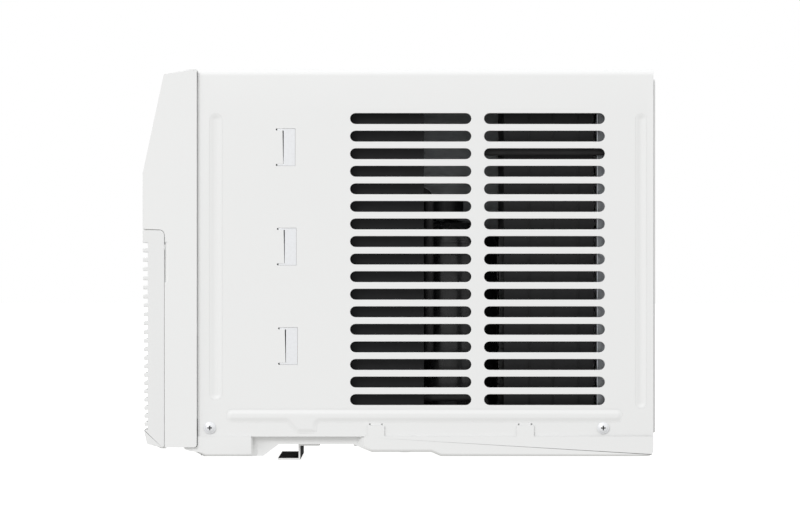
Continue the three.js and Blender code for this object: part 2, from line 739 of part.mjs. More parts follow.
function cabinetScrew(side, y, z) {
  const profile = [[0, -7], [1.9, -7], [1.9, GAP], [5.6, GAP], [5.6, 1.1], [3.4, 2.6], [0, 3]];
  const screw = turned("x", profile, [CAB_HALF, y, z], 12);
  return side > 0 ? screw : screw.mirror([1, 0, 0]);
}

for (const [side, word] of [[1, "right"], [-1, "left"]]) {
  place(`front_screw_${word}`, cabinetScrew(side, ...SCREWS[0]), ZINC, 0.35, 0.8);
  place(`rear_screw_${word}`, cabinetScrew(side, ...SCREWS[1]), ZINC, 0.35, 0.8);
}

// The guard over the outdoor coil.
function rearGuard() {
  const bars = plate(-240, 240, 27, 371, 5, CAB_REAR + GAP, REAR);
  const holes = [];
  const columns = 3;
  const rows = 8;
  for (let c = 0; c < columns; c++) {
    for (let r = 0; r < rows; r++) {
      const x = -228 + c * 153.5;
      const z = 40 + r * 40;
      holes.push(box(x, x + 149, CAB_REAR - 3, REAR + 3, z, z + 36));
    }
  }
  return cut(bars, holes);
}

place("rear_guard", rearGuard(), PAINT, 0.45, 0.1);

// ---------- base pan ----------

const PAN_HALF = 243.4;
const PAN_SHEET = 1.2;
const PAN_SKIRT = CAB_HALF + GAP + PAN_SHEET; // outer face of the skirt, which hides the cabinet's lower edge
const PAN_BOTTOM = [
  [-209, 11.6],
  [-203, 9.5],
  [-199.3, 9.4],
  [-189, 4.5],
  [-132.4, 4.5],
  [-117.3, 15.9],
  [-45.1, 15.9],
  [-26.7, 8.6],
  [30.8, 8.6],
  [40.5, 4.5],
  [243.4, 4.5],
];
const PAN_WALL_TOP = 40;
const PAN_RIM = 22.9; // top of the rear edge, and of the set-back middle
const SKIRT_TOP = 23.9; // overlaps the lower edge of the cabinet's side
const PAN_BACK_STEP = { from: -138, to: -40, slant: 6, inner: 239 }; // set back over the raised middle
const DIMPLES = [[215, 5.5, 6.9], [205, -38.5, 12.4]]; // pressed pips [x, y, lowest z]
const GROMMETS = [[COMPRESSOR_X, -8], [COMPRESSOR_X - 50, 84], [COMPRESSOR_X + 50, 84]];
const BOSS_TOP = 14;
const GROMMET_HEIGHT = 18;
const FOOT_PLATE = BOSS_TOP + GROMMET_HEIGHT + 2 * GAP;

// Height of the pan's underside at a place along its depth.
function panUnderside(y) {
  const next = PAN_BOTTOM.findIndex(([place]) => place > y);
  const [y0, z0] = PAN_BOTTOM[next - 1];
  const [y1, z1] = PAN_BOTTOM[next];
  return z0 + ((z1 - z0) * (y - y0)) / (y1 - y0);
}

// Everything between the underside and a height, across the pan.
function panBlock(height, half) {
  const rear = PAN_BOTTOM.at(-1)[0];
  return prism("x", [...PAN_BOTTOM, [rear, height], [PAN_BOTTOM[0][0], height]], -half, half);
}

// The right-hand wall, which stands inside the cabinet.
function panWall() {
  const outline = [
    ...PAN_BOTTOM.slice(1),
    [243, 6],
    [243, PAN_WALL_TOP],
    [-195.3, PAN_WALL_TOP],
    [-195.3, 10.6],
    [-203, 10.7],
  ];
  return prism("x", outline, PAN_HALF - PAN_SHEET, PAN_HALF);
}

// The right-hand skirt: flush with its tongues, and reaching under the heel of the front frame.
function panSkirt() {
  const front = FRAME_REAR + 0.7;
  const low = FRAME_BOTTOM - GAP;
  const outline = rounded([
    ...PAN_BOTTOM,
    [CAB_REAR, 7.9],
    [CAB_REAR, SKIRT_TOP],
    [front, SKIRT_TOP],
    [front, low, FRAME_HEEL + GAP],
    [PAN_BOTTOM[0][0], low],
  ]);
  const inside = PAN_SKIRT - PAN_SHEET;
  const tongues = PAN_TABS.map(([from, to]) => box(inside, PAN_SKIRT, from, to, PAN_RIM - 1, TAB_TOP));
  return joined([prism("x", outline, inside, PAN_SKIRT), ...tongues]);
}

// Over the raised middle the side stands further in. Returns what to cut and what to add.
function panSetBack() {
  const { from, to, slant, inner } = PAN_BACK_STEP;
  const reach = PAN_SKIRT + 1;
  const behind = inner - PAN_SHEET;
  const band = [
    [inner, from], [PAN_SKIRT, from - slant], [PAN_SKIRT, from - slant - 2], [behind, from - 1],
    [behind, to + 1], [PAN_SKIRT, to + slant + 2], [PAN_SKIRT, to + slant], [inner, to],
  ];
  const ledge = [[behind, from - 1], [PAN_HALF, from - slant], [PAN_HALF, to + slant], [behind, to + 1]];
  const plan = [[inner, from], [reach, from - slant - 1], [reach, to + slant + 1], [inner, to]];
  return {
    cut: joined([
      prism("z", plan, 0, PAN_RIM),
      box(PAN_SKIRT - PAN_SHEET - 0.1, reach, from - slant, to + slant, PAN_RIM - 1, SKIRT_TOP + 1),
    ]),
    wall: joined([
      prism("z", band, 0, PAN_RIM).intersect(panBlock(PAN_RIM, PAN_SKIRT)),
      prism("z", ledge, PAN_RIM - 0.1, PAN_RIM + PAN_SHEET),
    ]),
  };
}

function basePan() {
  const top = PAN_BOTTOM.map(([y, z]) => [y, z + PAN_SHEET]).reverse();
  const floor = prism("x", [...PAN_BOTTOM, ...top], -PAN_SKIRT, PAN_SKIRT);
  const pieces = [floor];
  pieces.push(box(-PAN_HALF, PAN_HALF, -193, -191.8, 5, 30));
  const inner = CAB_REAR - PAN_SHEET;
  const heel = [
    PAN_BOTTOM.at(-1),
    [CAB_REAR, 7.9],
    [CAB_REAR, PAN_RIM],
    [inner, PAN_RIM],
    [inner, 8.4],
    [243, 5.7],
  ];
  pieces.push(prism("x", heel, -PAN_SKIRT, PAN_SKIRT));
  const setBack = panSetBack();
  const cuts = [setBack.cut, setBack.cut.mirror([1, 0, 0])];
  const side = joined([panWall(), panSkirt()]);
  pieces.push(side, side.mirror([1, 0, 0]));
  for (const [x, y] of GROMMETS) {
    pieces.push(prism("z", circle(x, y, 15, 12), panUnderside(y) + PAN_SHEET / 2, BOSS_TOP));
  }
  for (const [x, y, low] of DIMPLES) {
    const pip = prism("z", circle(x, y, 6, 12), low, panUnderside(y) + PAN_SHEET);
    pieces.push(pip, pip.mirror([1, 0, 0]));
  }
  for (const [y, z] of SCREWS) cuts.push(prism("x", circle(y, z, 2.4, 8), -PAN_HALF - 2, PAN_HALF + 2));
  return joined([cut(joined(pieces), cuts), setBack.wall, setBack.wall.mirror([1, 0, 0])]);
}

place("base_pan", basePan(), "#e6e7e6", 0.4, 0.1);

// Brackets under the pan that sit on the window sill.
function sillBracket(x0, x1) {
  const section = [
    [-118.5, 0],
    [-96.5, 0],
    [-96.5, 13.8],
    [-78, 13.8],
    [-78, 15.6],
    [-98.3, 15.6],
    [-98.3, 1.8],
    [-118.5, 1.8],
  ];
  return prism("x", section, x0, x1);
}

place("sill_bracket_right", sillBracket(120, 230), PAINT, 0.45, 0.1);
place("sill_bracket_left", sillBracket(-230, -120), PAINT, 0.45, 0.1);

// The bushing that the supply cord leaves through.
const GLAND = [[3.7, -1.9], [8.4, -1.9], [8.4, -GAP], [5.6, -GAP], [5.6, 5], [3.7, 5], [3.7, -1.9]];
place("cord_gland", turned("z", GLAND, [GLAND_X, GLAND_Y, FRAME_BOTTOM], 12), BLACK, 0.6);

// ---------- coils ----------

const TUBE = 4;
const TUBE_ROWS = 4;
const PLATE_FOOT = 6.2; // the end plates stand on the pan

// A fin pack with grooves on both faces, and the return bends that join its tubes.
function coil({ x0, x1, y0, y1, z0, z1, pitch }) {
  const slots = [];
  const depth = (y1 - y0) * 0.42;
  for (let x = x0 + pitch; x < x1 - pitch / 2; x += pitch) {
    slots.push(box(x - pitch * 0.35, x + pitch * 0.35, y0 - 1, y0 + depth, z0 - 1, z1 + 1));
    slots.push(box(x - pitch * 0.35, x + pitch * 0.35, y1 - depth, y1 + 1, z0 - 1, z1 + 1));
  }
  const pieces = [cut(box(x0, x1, y0, y1, z0, z1), slots)];
  const step = (z1 - z0) / TUBE_ROWS;
  const near = y0 + (y1 - y0) * 0.3;
  const far = y0 + (y1 - y0) * 0.7;
  for (let row = 0; row < TUBE_ROWS; row++) {
    const z = z0 + step * (row + 0.5);
    for (const [end, out] of [[x0, -1], [x1, 1]]) {
      const tip = end + out * 12;
      const bend = [[end - out, near, z], [tip, near, z], [tip, far, z], [end - out, far, z]];
      pieces.push(pipe(bend, TUBE, 6, 6, 2));
    }
  }
  return joined(pieces);
}

// A coil's end plate, with a hole for each tube.
function endPlate({ y0, y1, z0, z1 }, from, to, flange) {
  const step = (z1 - z0) / TUBE_ROWS;
  const holes = [];
  for (let row = 0; row < TUBE_ROWS; row++) {
    const z = z0 + step * (row + 0.5);
    for (const share of [0.3, 0.7]) {
      holes.push(prism("x", circle(y0 + (y1 - y0) * share, z, TUBE + 0.8, 6), from - 2, to + 2));
    }
  }
  const sheet = box(from, to, y0 - 3, y1 + 3, PLATE_FOOT, z1 + 4);
  const [a, b] = flange > to ? [from, flange] : [flange, to];
  const lips = [
    box(a, b, y0 - 3, y0 - 1.8, PLATE_FOOT, z1 + 4),
    box(a, b, y1 + 1.8, y1 + 3, PLATE_FOOT, z1 + 4),
  ];
  return cut(joined([sheet, ...lips]), holes);
}

place("evaporator_coil", coil(EVAPORATOR), FIN, 0.45, 0.7);
place("evaporator_plate_left", endPlate(EVAPORATOR, -223.6, -222.4, -233), ZINC, 0.4, 0.8);
place("evaporator_plate_right", endPlate(EVAPORATOR, 150.4, 151.6, 160), ZINC, 0.4, 0.8);
place("condenser_coil", coil(CONDENSER), FIN, 0.45, 0.7);
place("condenser_plate_left", endPlate(CONDENSER, -215.6, -214.4, -227), ZINC, 0.4, 0.8);
place("condenser_plate_right", endPlate(CONDENSER, 214.4, 215.6, 227), ZINC, 0.4, 0.8);

// ---------- indoor air path ----------

const VOLUTE_WALL = 2.5;
const VOLUTE_FRONT = -138;
const VOLUTE_REAR = -58.3;
const CHIMNEY_LEFT = -168;
const CHIMNEY_TOP = 284;
const PLENUM = { half: 207, front: -188, low: 281, high: 356 };

// The volute grows clockwise from the tongue at the upper right to the left wall, then rises.
function voluteOutline() {
  const points = [];
  const tongue = Math.PI / 4;
  const steps = 20;
  for (let i = 0; i <= steps; i++) {
    const turn = (i / steps) * 1.25 * Math.PI;
    const radius = 92 + (turn / (1.25 * Math.PI)) * (SHAFT_X - CHIMNEY_LEFT - 92);
    points.push([SHAFT_X + radius * Math.cos(tongue - turn), SHAFT_Z + radius * Math.sin(tongue - turn)]);
  }
  points.push([CHIMNEY_LEFT, CHIMNEY_TOP], [points[0][0], CHIMNEY_TOP]);
  return points.reverse();
}

function scrollCasing() {
  const air = voluteOutline();
  const { half, front, low, high } = PLENUM;
  const w = VOLUTE_WALL;
  const outer = frontPrism(inset(air, -w), VOLUTE_FRONT, VOLUTE_REAR).add(
    box(-half, half, front, VOLUTE_REAR, low, high),
  );
  const inner = frontPrism(air, VOLUTE_FRONT + w, VOLUTE_REAR - w).add(
    box(-half + w, half - w, front - 2, VOLUTE_REAR - w, low + w, high - w),
  );
  return cut(outer.subtract(inner), [
    frontPrism(circle(SHAFT_X, SHAFT_Z, 66, 28), VOLUTE_FRONT - 2, VOLUTE_FRONT + w + 2),
    frontPrism(circle(SHAFT_X, SHAFT_Z, 16, 16), VOLUTE_REAR - w - 2, VOLUTE_REAR + 2),
  ]);
}

place("scroll_casing", scrollCasing(), "#d9dbd8", 0.6);

function aboutShaft(solid, angle) {
  return solid.rotate([0, angle, 0]).translate([SHAFT_X, 0, SHAFT_Z]);
}

function blowerWheel() {
  const disc = [
    [4.3, -78], [12, -78], [12, -100], [14, -100], [14, -76],
    [80, -76], [80, -73.5], [4.3, -73.5], [4.3, -78],
  ];
  const ring = [[70, -132], [80, -132], [80, -129], [70, -129], [70, -132]];
  const pieces = [turned("y", disc, [SHAFT_X, 0, SHAFT_Z], 24), turned("y", ring, [SHAFT_X, 0, SHAFT_Z], 24)];
  const blades = 20;
  for (let i = 0; i < blades; i++) {
    const blade = box(-0.7, 0.7, -130, -75, -5.5, 3.5).rotate([0, 35, 0]).translate([0, 0, WHEEL_RADIUS - 6]);
    pieces.push(aboutShaft(blade, (i * 360) / blades));
  }
  const bore = frontPrism(circle(SHAFT_X, SHAFT_Z, SHAFT_RADIUS + GAP, 12), -140, -60);
  return cut(joined(pieces), [bore]);
}

place("blower_wheel", blowerWheel(), DARK_PLASTIC, 0.6);
place("motor_shaft", frontPrism(circle(SHAFT_X, SHAFT_Z, SHAFT_RADIUS, 12), -99, 130), "#c9ccce", 0.25, 1);

function condenserFan() {
  const hub = [[4.3, 104], [26, 104], [26, 122], [22, 128], [4.3, 128], [4.3, 104]];
  const slinger = [[122, 110], [FAN_RADIUS, 110], [FAN_RADIUS, 124], [122, 124], [122, 110]];
  const centre = [SHAFT_X, 0, SHAFT_Z];
  const pieces = [turned("y", hub, centre, 16), turned("y", slinger, centre, 26)];
  const blades = 5;
  const outline = [[-20, 23], [20, 23], [38, 80], [40, 123], [-24, 123], [-28, 80]];
  for (let i = 0; i < blades; i++) {
    const blade = frontPrism(outline, -1.1, 1.1).rotate([0, 0, 26]).translate([0, 116, 0]);
    pieces.push(aboutShaft(blade, (i * 360) / blades + 9));
  }
  const reach = frontPrism(circle(SHAFT_X, SHAFT_Z, FAN_RADIUS, 26), 95, 140);
  return joined(pieces).intersect(reach);
}

place("condenser_fan", condenserFan(), DARK_PLASTIC, 0.6);

function fanMotor() {
  const profile = [
    [5, -35.3], [14, -35.3], [14, -31], [40, -31], [46, -26], [46, 30], [40, 35], [14, 35],
    [14, 40], [5, 40], [5, -35.3],
  ];
  return turned("y", profile, [SHAFT_X, 0, SHAFT_Z], 20);
}

place("fan_motor", fanMotor(), "#8c9093", 0.45, 0.7);

function motorBracket() {
  const low = 17.4;
  const outline = rounded([[-110, low], [20, low], [20, 60], [-2, 222, 20], [-88, 222, 20], [-110, 60]]);
  const upright = frontPrism(outline, -38, -35.6);
  const foot = box(-110, 20, -56.4, -36, low, low + 2.4);
  return upright.add(foot).subtract(frontPrism(circle(SHAFT_X, SHAFT_Z, 18, 20), -45, -30));
}

place("motor_bracket", motorBracket(), ZINC, 0.4, 0.8);

// The wall between indoor and outdoor air: flanges turned back along both sides, and a brace to the shroud.
function bulkhead() {
  const wall = box(-236, 236, -58, -56.8, 17.4, 374);
  const flange = box(234.8, 236, -58, 24, 47, 345);
  const brace = box(62, 63.2, -57, 101.7, 226, 372);
  return cut(joined([wall, flange, flange.mirror([1, 0, 0]), brace]), [
    frontPrism(circle(SHAFT_X, SHAFT_Z, 18, 20), -65, -50),
    frontPrism(circle(200, 262, 9, 12), -65, -50),
    frontPrism(circle(222, 60, 4, 8), -65, -50),
  ]);
}

place("bulkhead", bulkhead(), ZINC, 0.4, 0.8);

// ---------- outdoor side ----------

// The shroud that makes the fan pull its air through the side slots and push it through the coil.
function fanShroud() {
  const half = 228;
  const outer = box(-half, half, 102, 190, PLATE_FOOT, 372);
  const inner = box(-half + 2, half - 2, 104, 195, PLATE_FOOT + 2, 370);
  const lip = [[130, 103], [133, 103], [133, 126], [130, 126], [130, 103]];
  const orifice = frontPrism(circle(SHAFT_X, SHAFT_Z, 130, 26), 95, 110);
  return outer.subtract(inner).subtract(orifice).add(turned("y", lip, [SHAFT_X, 0, SHAFT_Z], 26));
}

place("fan_shroud", fanShroud(), DARK_PLASTIC, 0.6);

function compressor() {
  const r = COMPRESSOR_RADIUS;
  const profile = [
    [0, 34], [r - 12, 34], [r - 3, 40], [r, 48], [r, 210], [r - 4, 222], [r - 16, 232], [0, 236],
  ];
  const shell = turned("z", profile, [COMPRESSOR_X, COMPRESSOR_Y, 0], 24);
  const ears = rounded([
    [COMPRESSOR_X - 63, 71, 9], [COMPRESSOR_X + 63, 71, 9],
    [COMPRESSOR_X + 63, 96, 9], [COMPRESSOR_X - 63, 96, 9],
  ]);
  const nose = rounded([
    [COMPRESSOR_X - 12, -20, 6], [COMPRESSOR_X + 12, -20, 6],
    [COMPRESSOR_X + 40, 88], [COMPRESSOR_X - 40, 88],
  ]);
  const top = FOOT_PLATE + 2.4;
  const foot = prism("z", ears, FOOT_PLATE, top).add(prism("z", nose, FOOT_PLATE, top));
  return shell.add(foot);
}

place("compressor", compressor(), BLACK, 0.35, 0.2);
GROMMETS.forEach(([x, y], i) => {
  const profile = [[4, 0], [12, 0], [8, 9], [12, GROMMET_HEIGHT], [4, GROMMET_HEIGHT], [4, 0]];
  place(`compressor_grommet_${i + 1}`, turned("z", profile, [x, y, BOSS_TOP + GAP], 12), "#26282a", 0.9);
});
const COVER = [[0, 0], [20, 0], [20, 18], [16, 24], [0, 25]];
place("terminal_cover", turned("z", COVER, [COMPRESSOR_X + 4, COMPRESSOR_Y - 6, 236.4], 18), "#151617", 0.5);

const ACCUMULATOR = { x: 84, y: 34 };
const CAN = [[0, 70], [12, 72], [21, 82], [21, 200], [12, 212], [0, 214]];
const CAN_FOOT = [[ACCUMULATOR.x, ACCUMULATOR.y, 75], [ACCUMULATOR.x, ACCUMULATOR.y, 54], [109, 43, 54]];
const can = turned("z", CAN, [ACCUMULATOR.x, ACCUMULATOR.y, 0], 16);
place("accumulator", can.add(pipe(CAN_FOOT, 5, 9)), BLACK, 0.35, 0.2);

const SUCTION = [
  [152.2, -168, 262], [200, -168, 262], [200, -48, 262], [222, -20, 262], [222, 29, 262], [222, 29, 100],
  [222, -12, 100], [84, -12, 100], [84, -12, 240], [84, 34, 240], [84, 34, 214.6],
];
const DISCHARGE = [
  [140, 78, 232.8], [140, 78, 300], [236, 78, 300], [236, 215, 300], [236, 215, 358], [216, 215, 358],
];
const LIQUID = [[216, 215, 46], [236, 215, 46], [236, 84, 46], [222, 84, 60], [222, 20, 60]];
place("suction_line", pipe(SUCTION, 4.6, 10), COPPER, 0.35, 0.9);
place("discharge_line", pipe(DISCHARGE, 3.2, 7), COPPER, 0.35, 0.9);
place("liquid_line", pipe(LIQUID, 3.2, 6), COPPER, 0.35, 0.9);
const DRIER = [[0, 0], [4, 0], [10, 8], [10, 52], [4, 60], [0, 60]];
place("filter_drier", turned("y", DRIER, [222, -40.4, 60], 12), COPPER, 0.4, 0.9);

// The thin tube runs from the drier through the bulkhead, winds into a few turns and meets the coil.
function capillary() {
  const stations = [new THREE.Vector3(222, -40.8, 60), new THREE.Vector3(222, -64, 60)];
  const turns = 3;
  const steps = 30;
  for (let i = 0; i <= steps; i++) {
    const turn = (i / steps) * turns * 2 * Math.PI;
    const x = 190 + 18 * Math.cos(turn);
    stations.push(new THREE.Vector3(x, -82 - (i / steps) * 18, 110 + 18 * Math.sin(turn)));
  }
  stations.push(new THREE.Vector3(170, -140, 92), new THREE.Vector3(153, -168, 92));
  return tube(stations, 1.5, 6);
}

place("capillary_tube", capillary(), COPPER, 0.35, 0.9);

// ---------- electrical box ----------

function controlBox() {
  const shell = box(168, 232, -190, -58.4, 133, 225);
  return shell.subtract(box(169.5, 230.5, -195, -59.9, 134.5, 223.5));
}

place("control_box", controlBox(), ZINC, 0.4, 0.8);
const CAPACITOR = [[0, 0], [17, 0], [17, 66], [14, 69], [0, 69]];
place("run_capacitor", turned("z", CAPACITOR, [200, -158, 134.8], 16), "#c4c8ca", 0.3, 0.9);

export default unit;
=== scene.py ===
"""The looks of a window air conditioner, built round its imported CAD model.

Metres, +Z up. The room side faces -Y, the outdoor side +Y, and X runs across the width.
"""

import json
import math

import bmesh
import bpy
from mathutils import Matrix, Vector


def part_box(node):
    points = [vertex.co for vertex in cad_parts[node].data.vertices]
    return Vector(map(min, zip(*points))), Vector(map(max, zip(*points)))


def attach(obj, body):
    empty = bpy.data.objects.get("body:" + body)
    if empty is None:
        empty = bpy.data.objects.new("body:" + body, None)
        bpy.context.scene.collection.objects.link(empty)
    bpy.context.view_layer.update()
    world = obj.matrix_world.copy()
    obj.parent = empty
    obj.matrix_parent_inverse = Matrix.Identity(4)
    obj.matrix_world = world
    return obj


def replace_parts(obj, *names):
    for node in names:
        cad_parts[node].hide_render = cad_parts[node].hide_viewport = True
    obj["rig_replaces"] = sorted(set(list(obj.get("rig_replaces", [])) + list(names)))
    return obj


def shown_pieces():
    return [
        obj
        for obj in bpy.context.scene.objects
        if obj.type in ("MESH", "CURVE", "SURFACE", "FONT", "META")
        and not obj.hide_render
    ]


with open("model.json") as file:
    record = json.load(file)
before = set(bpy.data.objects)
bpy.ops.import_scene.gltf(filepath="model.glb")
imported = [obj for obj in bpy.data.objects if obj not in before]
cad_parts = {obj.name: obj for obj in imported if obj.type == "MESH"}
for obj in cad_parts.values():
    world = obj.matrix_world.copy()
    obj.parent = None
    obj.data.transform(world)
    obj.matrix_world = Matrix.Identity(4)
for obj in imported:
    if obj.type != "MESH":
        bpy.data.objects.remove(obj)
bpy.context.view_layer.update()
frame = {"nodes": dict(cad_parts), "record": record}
NODES = frame["nodes"]
BODIES = frame["record"]["behaviour"]["bodies"]
BODY_OF = {node: body for body, members in BODIES.items() for node in members}
SLOT_OF = {part["node"]: part["material_slot"] for part in frame["record"]["subparts"]}

# ---------- driving dimensions ----------

MM = 0.001
SHEET = 1 * MM  # cabinet steel
EDGE = 0.25 * MM  # rounding on cut sheet edges
LOW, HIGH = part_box("cabinet")
WALL_X = 245 * MM
WRAP_FRONT = LOW.y
WRAP_REAR = HIGH.y
WRAP_BOTTOM = LOW.z
WRAP_TOP = HIGH.z
WRAP_BEND = 5.5 * MM  # radius of the folded top edges, at the middle of the sheet

SLOT_HEIGHT = 10.6 * MM
SLOT_PITCH = 17.06 * MM
SLOT_ROWS = 17
SLOT_TOP = 332.4 * MM
SLOT_COLUMNS = ((-47.8 * MM, 70 * MM), (82.3 * MM, 199.7 * MM))

HOOK_Y = -112.7 * MM
HOOK_TOP = 304.6 * MM
HOOK_PITCH = 96.6 * MM
HOOK_LEAN = 0.0115
HOOK_HALF = 18.15 * MM
HOOK_FLOOR = 11.7 * MM
HOOK_RELIEF = 6.2 * MM
HOOK_CUT = 1.9 * MM
HOOK_SLANT = 0.02
HOOK_GAP = 0.35 * MM

PRESSING = ((0, 0), (0.9, 0.05), (2, 0.3), (3.2, 0.68), (4.3, 0.94), (5, 1))  # inset, depth
GROOVES = (
    ((-184.3, 59, 5.9), (-172, 59, 5.9), (-172, 337, 5.9), (-184.3, 337, 5.9)),
    ((229.4, 51, 5.2), (240.2, 51, 5.2), (240.2, 337, 5.2), (229.4, 337, 5.2)),
)
RIDGE = (
    (-168, 37.4, 5.9), (-109, 37.4, 4), (-99.5, 26.6, 4), (-80, 26.6, 3.5),
    (-80, 37.4, 3.5), (217, 37.4, 5.9), (217, 50.2, 5.9), (-168, 50.2, 5.9),
)
TAB_DOTS = (-28.6 * MM, -16.7 * MM, 116.1 * MM, 128.5 * MM)
TAB_DOT_RISE = 35.5 * MM
SCREWS = ((-183.9 * MM, 32.1 * MM), (198 * MM, 32 * MM))

# Light from the studio, against a white of 1: from below, level with the unit, and overhead
BELOW_LIGHT = (0.60, 0.595, 0.57)
LEVEL_LIGHT = (0.77, 0.77, 0.77)
OVERHEAD_LIGHT = (1.15, 1.155, 1.16)
KEY_WATTS = 155
KEY_PLACE = (5.2, -3.2, 4.0)
KEY_SIZE = 2.4

CAMERA_DISTANCE = 3.0
CAMERA_LENS = 139
CAMERA_PLACE = Vector((WALL_X + CAMERA_DISTANCE, 0.7 * MM, 189.7 * MM))

# ---------- node helpers ----------


class Finish:
    """One procedural material, put together node by node."""

    def __init__(self, name, color, roughness, metallic=0.0, specular=0.5):
        self.material = bpy.data.materials.new(name)
        self.material.use_nodes = True
        self.tree = self.material.node_tree
        self.color = color
        self.roughness = roughness
        self.shader = self.tree.nodes["Principled BSDF"]
        self.shader.inputs["Metallic"].default_value = metallic
        self.shader.inputs["Base Color"].default_value = (*color, 1)
        self.shader.inputs["Roughness"].default_value = roughness
        self.shader.inputs["Specular IOR Level"].default_value = specular
        self.place = self.tree.nodes.new("ShaderNodeTexCoord").outputs["Object"]
        self.normal = None

    def link(self, source, target):
        self.tree.links.new(source, target)

    def stretched(self, scale):
        mapping = self.tree.nodes.new("ShaderNodeMapping")
        mapping.inputs["Scale"].default_value = scale
        self.link(self.place, mapping.inputs["Vector"])
        return mapping.outputs["Vector"]

    def noise(self, scale, detail=3.0, stretch=None):
        noise = self.tree.nodes.new("ShaderNodeTexNoise")
        noise.inputs["Scale"].default_value = scale
        noise.inputs["Detail"].default_value = detail
        self.link(self.stretched(stretch) if stretch else self.place, noise.inputs["Vector"])
        return noise.outputs["Fac"]

    def cells(self, scale, output="Color"):
        cells = self.tree.nodes.new("ShaderNodeTexVoronoi")
        cells.inputs["Scale"].default_value = scale
        self.link(self.place, cells.inputs["Vector"])
        return cells.outputs[output]

    def span(self, source, low, high, start=0.3, end=0.7):
        """A pattern turned into a value from low to high."""
        span = self.tree.nodes.new("ShaderNodeMapRange")
        for socket, value in zip(("From Min", "From Max", "To Min", "To Max"), (start, end, low, high)):
            span.inputs[socket].default_value = value
        self.link(source, span.inputs["Value"])
        return span.outputs["Result"]

    def drift(self, pattern, spread, tint=(1, 1, 1)):
        """The colour moves by a share of itself with a pattern, towards a tint at the pattern's high end."""
        mix = self.tree.nodes.new("ShaderNodeMix")
        mix.data_type = "RGBA"
        mix.inputs["A"].default_value = (*(c * (1 - spread) for c in self.color), 1)
        high = (min(1.0, c * (1 + spread) * t) for c, t in zip(self.color, tint))
        mix.inputs["B"].default_value = (*high, 1)
        self.link(pattern, mix.inputs["Factor"])
        self.link(mix.outputs["Result"], self.shader.inputs["Base Color"])
        return mix

    def gloss(self, pattern, spread):
        low = max(0.02, self.roughness - spread)
        high = min(1.0, self.roughness + spread)
        self.link(self.span(pattern, low, high), self.shader.inputs["Roughness"])

    def bump(self, pattern, depth, strength=1.0):
        bump = self.tree.nodes.new("ShaderNodeBump")
        bump.inputs["Distance"].default_value = depth
        bump.inputs["Strength"].default_value = strength
        self.link(pattern, bump.inputs["Height"])
        if self.normal:
            self.link(self.normal, bump.inputs["Normal"])
        self.normal = bump.outputs["Normal"]
        self.link(self.normal, self.shader.inputs["Normal"])


# ---------- materials ----------


def powder_coat(name, color, roughness=0.42, specular=0.5):
    """Painted steel: fine orange peel over a slow change of tone."""
    finish = Finish(name, color, roughness, 0.0, specular)
    finish.drift(finish.noise(5), 0.012)
    finish.gloss(finish.noise(60), 0.05)
    finish.bump(finish.noise(420, 1.0), 0.00002)
    finish.bump(finish.noise(1600, 1.0), 0.000006)
    return finish.material


def moulded(name, color, roughness=0.5, spread=0.012, specular=0.5):
    """Moulded plastic: spark-eroded texture and faint flow marks."""
    finish = Finish(name, color, roughness, 0.0, specular)
    finish.drift(finish.noise(9, 4.0, (1, 0.4, 0.4)), spread)
    finish.gloss(finish.noise(130), 0.06)
    finish.bump(finish.noise(2400, 2.0), 0.000012)
    return finish.material


def polished(name, color, roughness=0.08):
    """Clear, dark plastic with faint wiping marks."""
    finish = Finish(name, color, roughness)
    finish.drift(finish.noise(20), 0.2)
    finish.gloss(finish.noise(45, 5.0, (1, 1, 6)), 0.05)
    finish.bump(finish.noise(300), 0.000003)
    finish.shader.inputs["Coat Weight"].default_value = 0.6
    return finish.material


def galvanised(name, color, roughness=0.38):
    """Zinc-coated sheet: spangle cells, each with its own tone and shine."""
    finish = Finish(name, color, roughness, 0.85)
    cells = finish.cells(110)
    finish.drift(cells, 0.16, (0.98, 1, 1.02))
    finish.gloss(cells, 0.1)
    finish.bump(finish.noise(900), 0.000008)
    return finish.material


def drawn_metal(name, color, roughness, stretch, spread=0.06, tint=(1, 1, 1)):
    """Bare metal with fine marks along the way it was drawn or turned."""
    finish = Finish(name, color, roughness, 1.0)
    streaks = finish.noise(260, 3.0, stretch)
    finish.drift(finish.noise(40, 4.0), spread, tint)
    finish.gloss(streaks, 0.1)
    finish.bump(streaks, 0.000008)
    return finish.material


def plated(name, color):
    """Bright zinc plate: pale, cloudy and only half mirror-like."""
    finish = Finish(name, color, 0.36, 0.35)
    finish.drift(finish.noise(420, 4.0), 0.05, (0.99, 1, 1.01))
    finish.gloss(finish.noise(700), 0.08)
    finish.bump(finish.noise(1500), 0.00001)
    return finish.material


def tarnished_copper(name, color):
    """Copper tube: bright where handled, browner in clouds, with dull spots."""
    finish = Finish(name, color, 0.3, 1.0)
    finish.drift(finish.noise(55, 6.0), 0.28, (1, 0.92, 0.85))
    finish.gloss(finish.noise(160), 0.14)
    finish.bump(finish.noise(700), 0.000012)
    return finish.material


def enamel(name, color, roughness=0.3):
    """Thick black paint on welded steel: runs, dust and a soft shine."""
    finish = Finish(name, color, roughness)
    finish.drift(finish.noise(30, 5.0), 0.35)
    finish.gloss(finish.noise(90, 4.0), 0.12)
    finish.bump(finish.noise(220, 4.0), 0.00006)
    finish.shader.inputs["Coat Weight"].default_value = 0.2
    return finish.material


def soft_rubber(name, color):
    """Rubber or foam: dull, slightly dusty and finely pitted."""
    finish = Finish(name, color, 0.8, 0.0, 0.05)
    finish.drift(finish.noise(70, 5.0), 0.25, (1.04, 1.02, 1))
    finish.gloss(finish.noise(200), 0.12)
    finish.bump(finish.noise(1200, 3.0), 0.00002)
    return finish.material


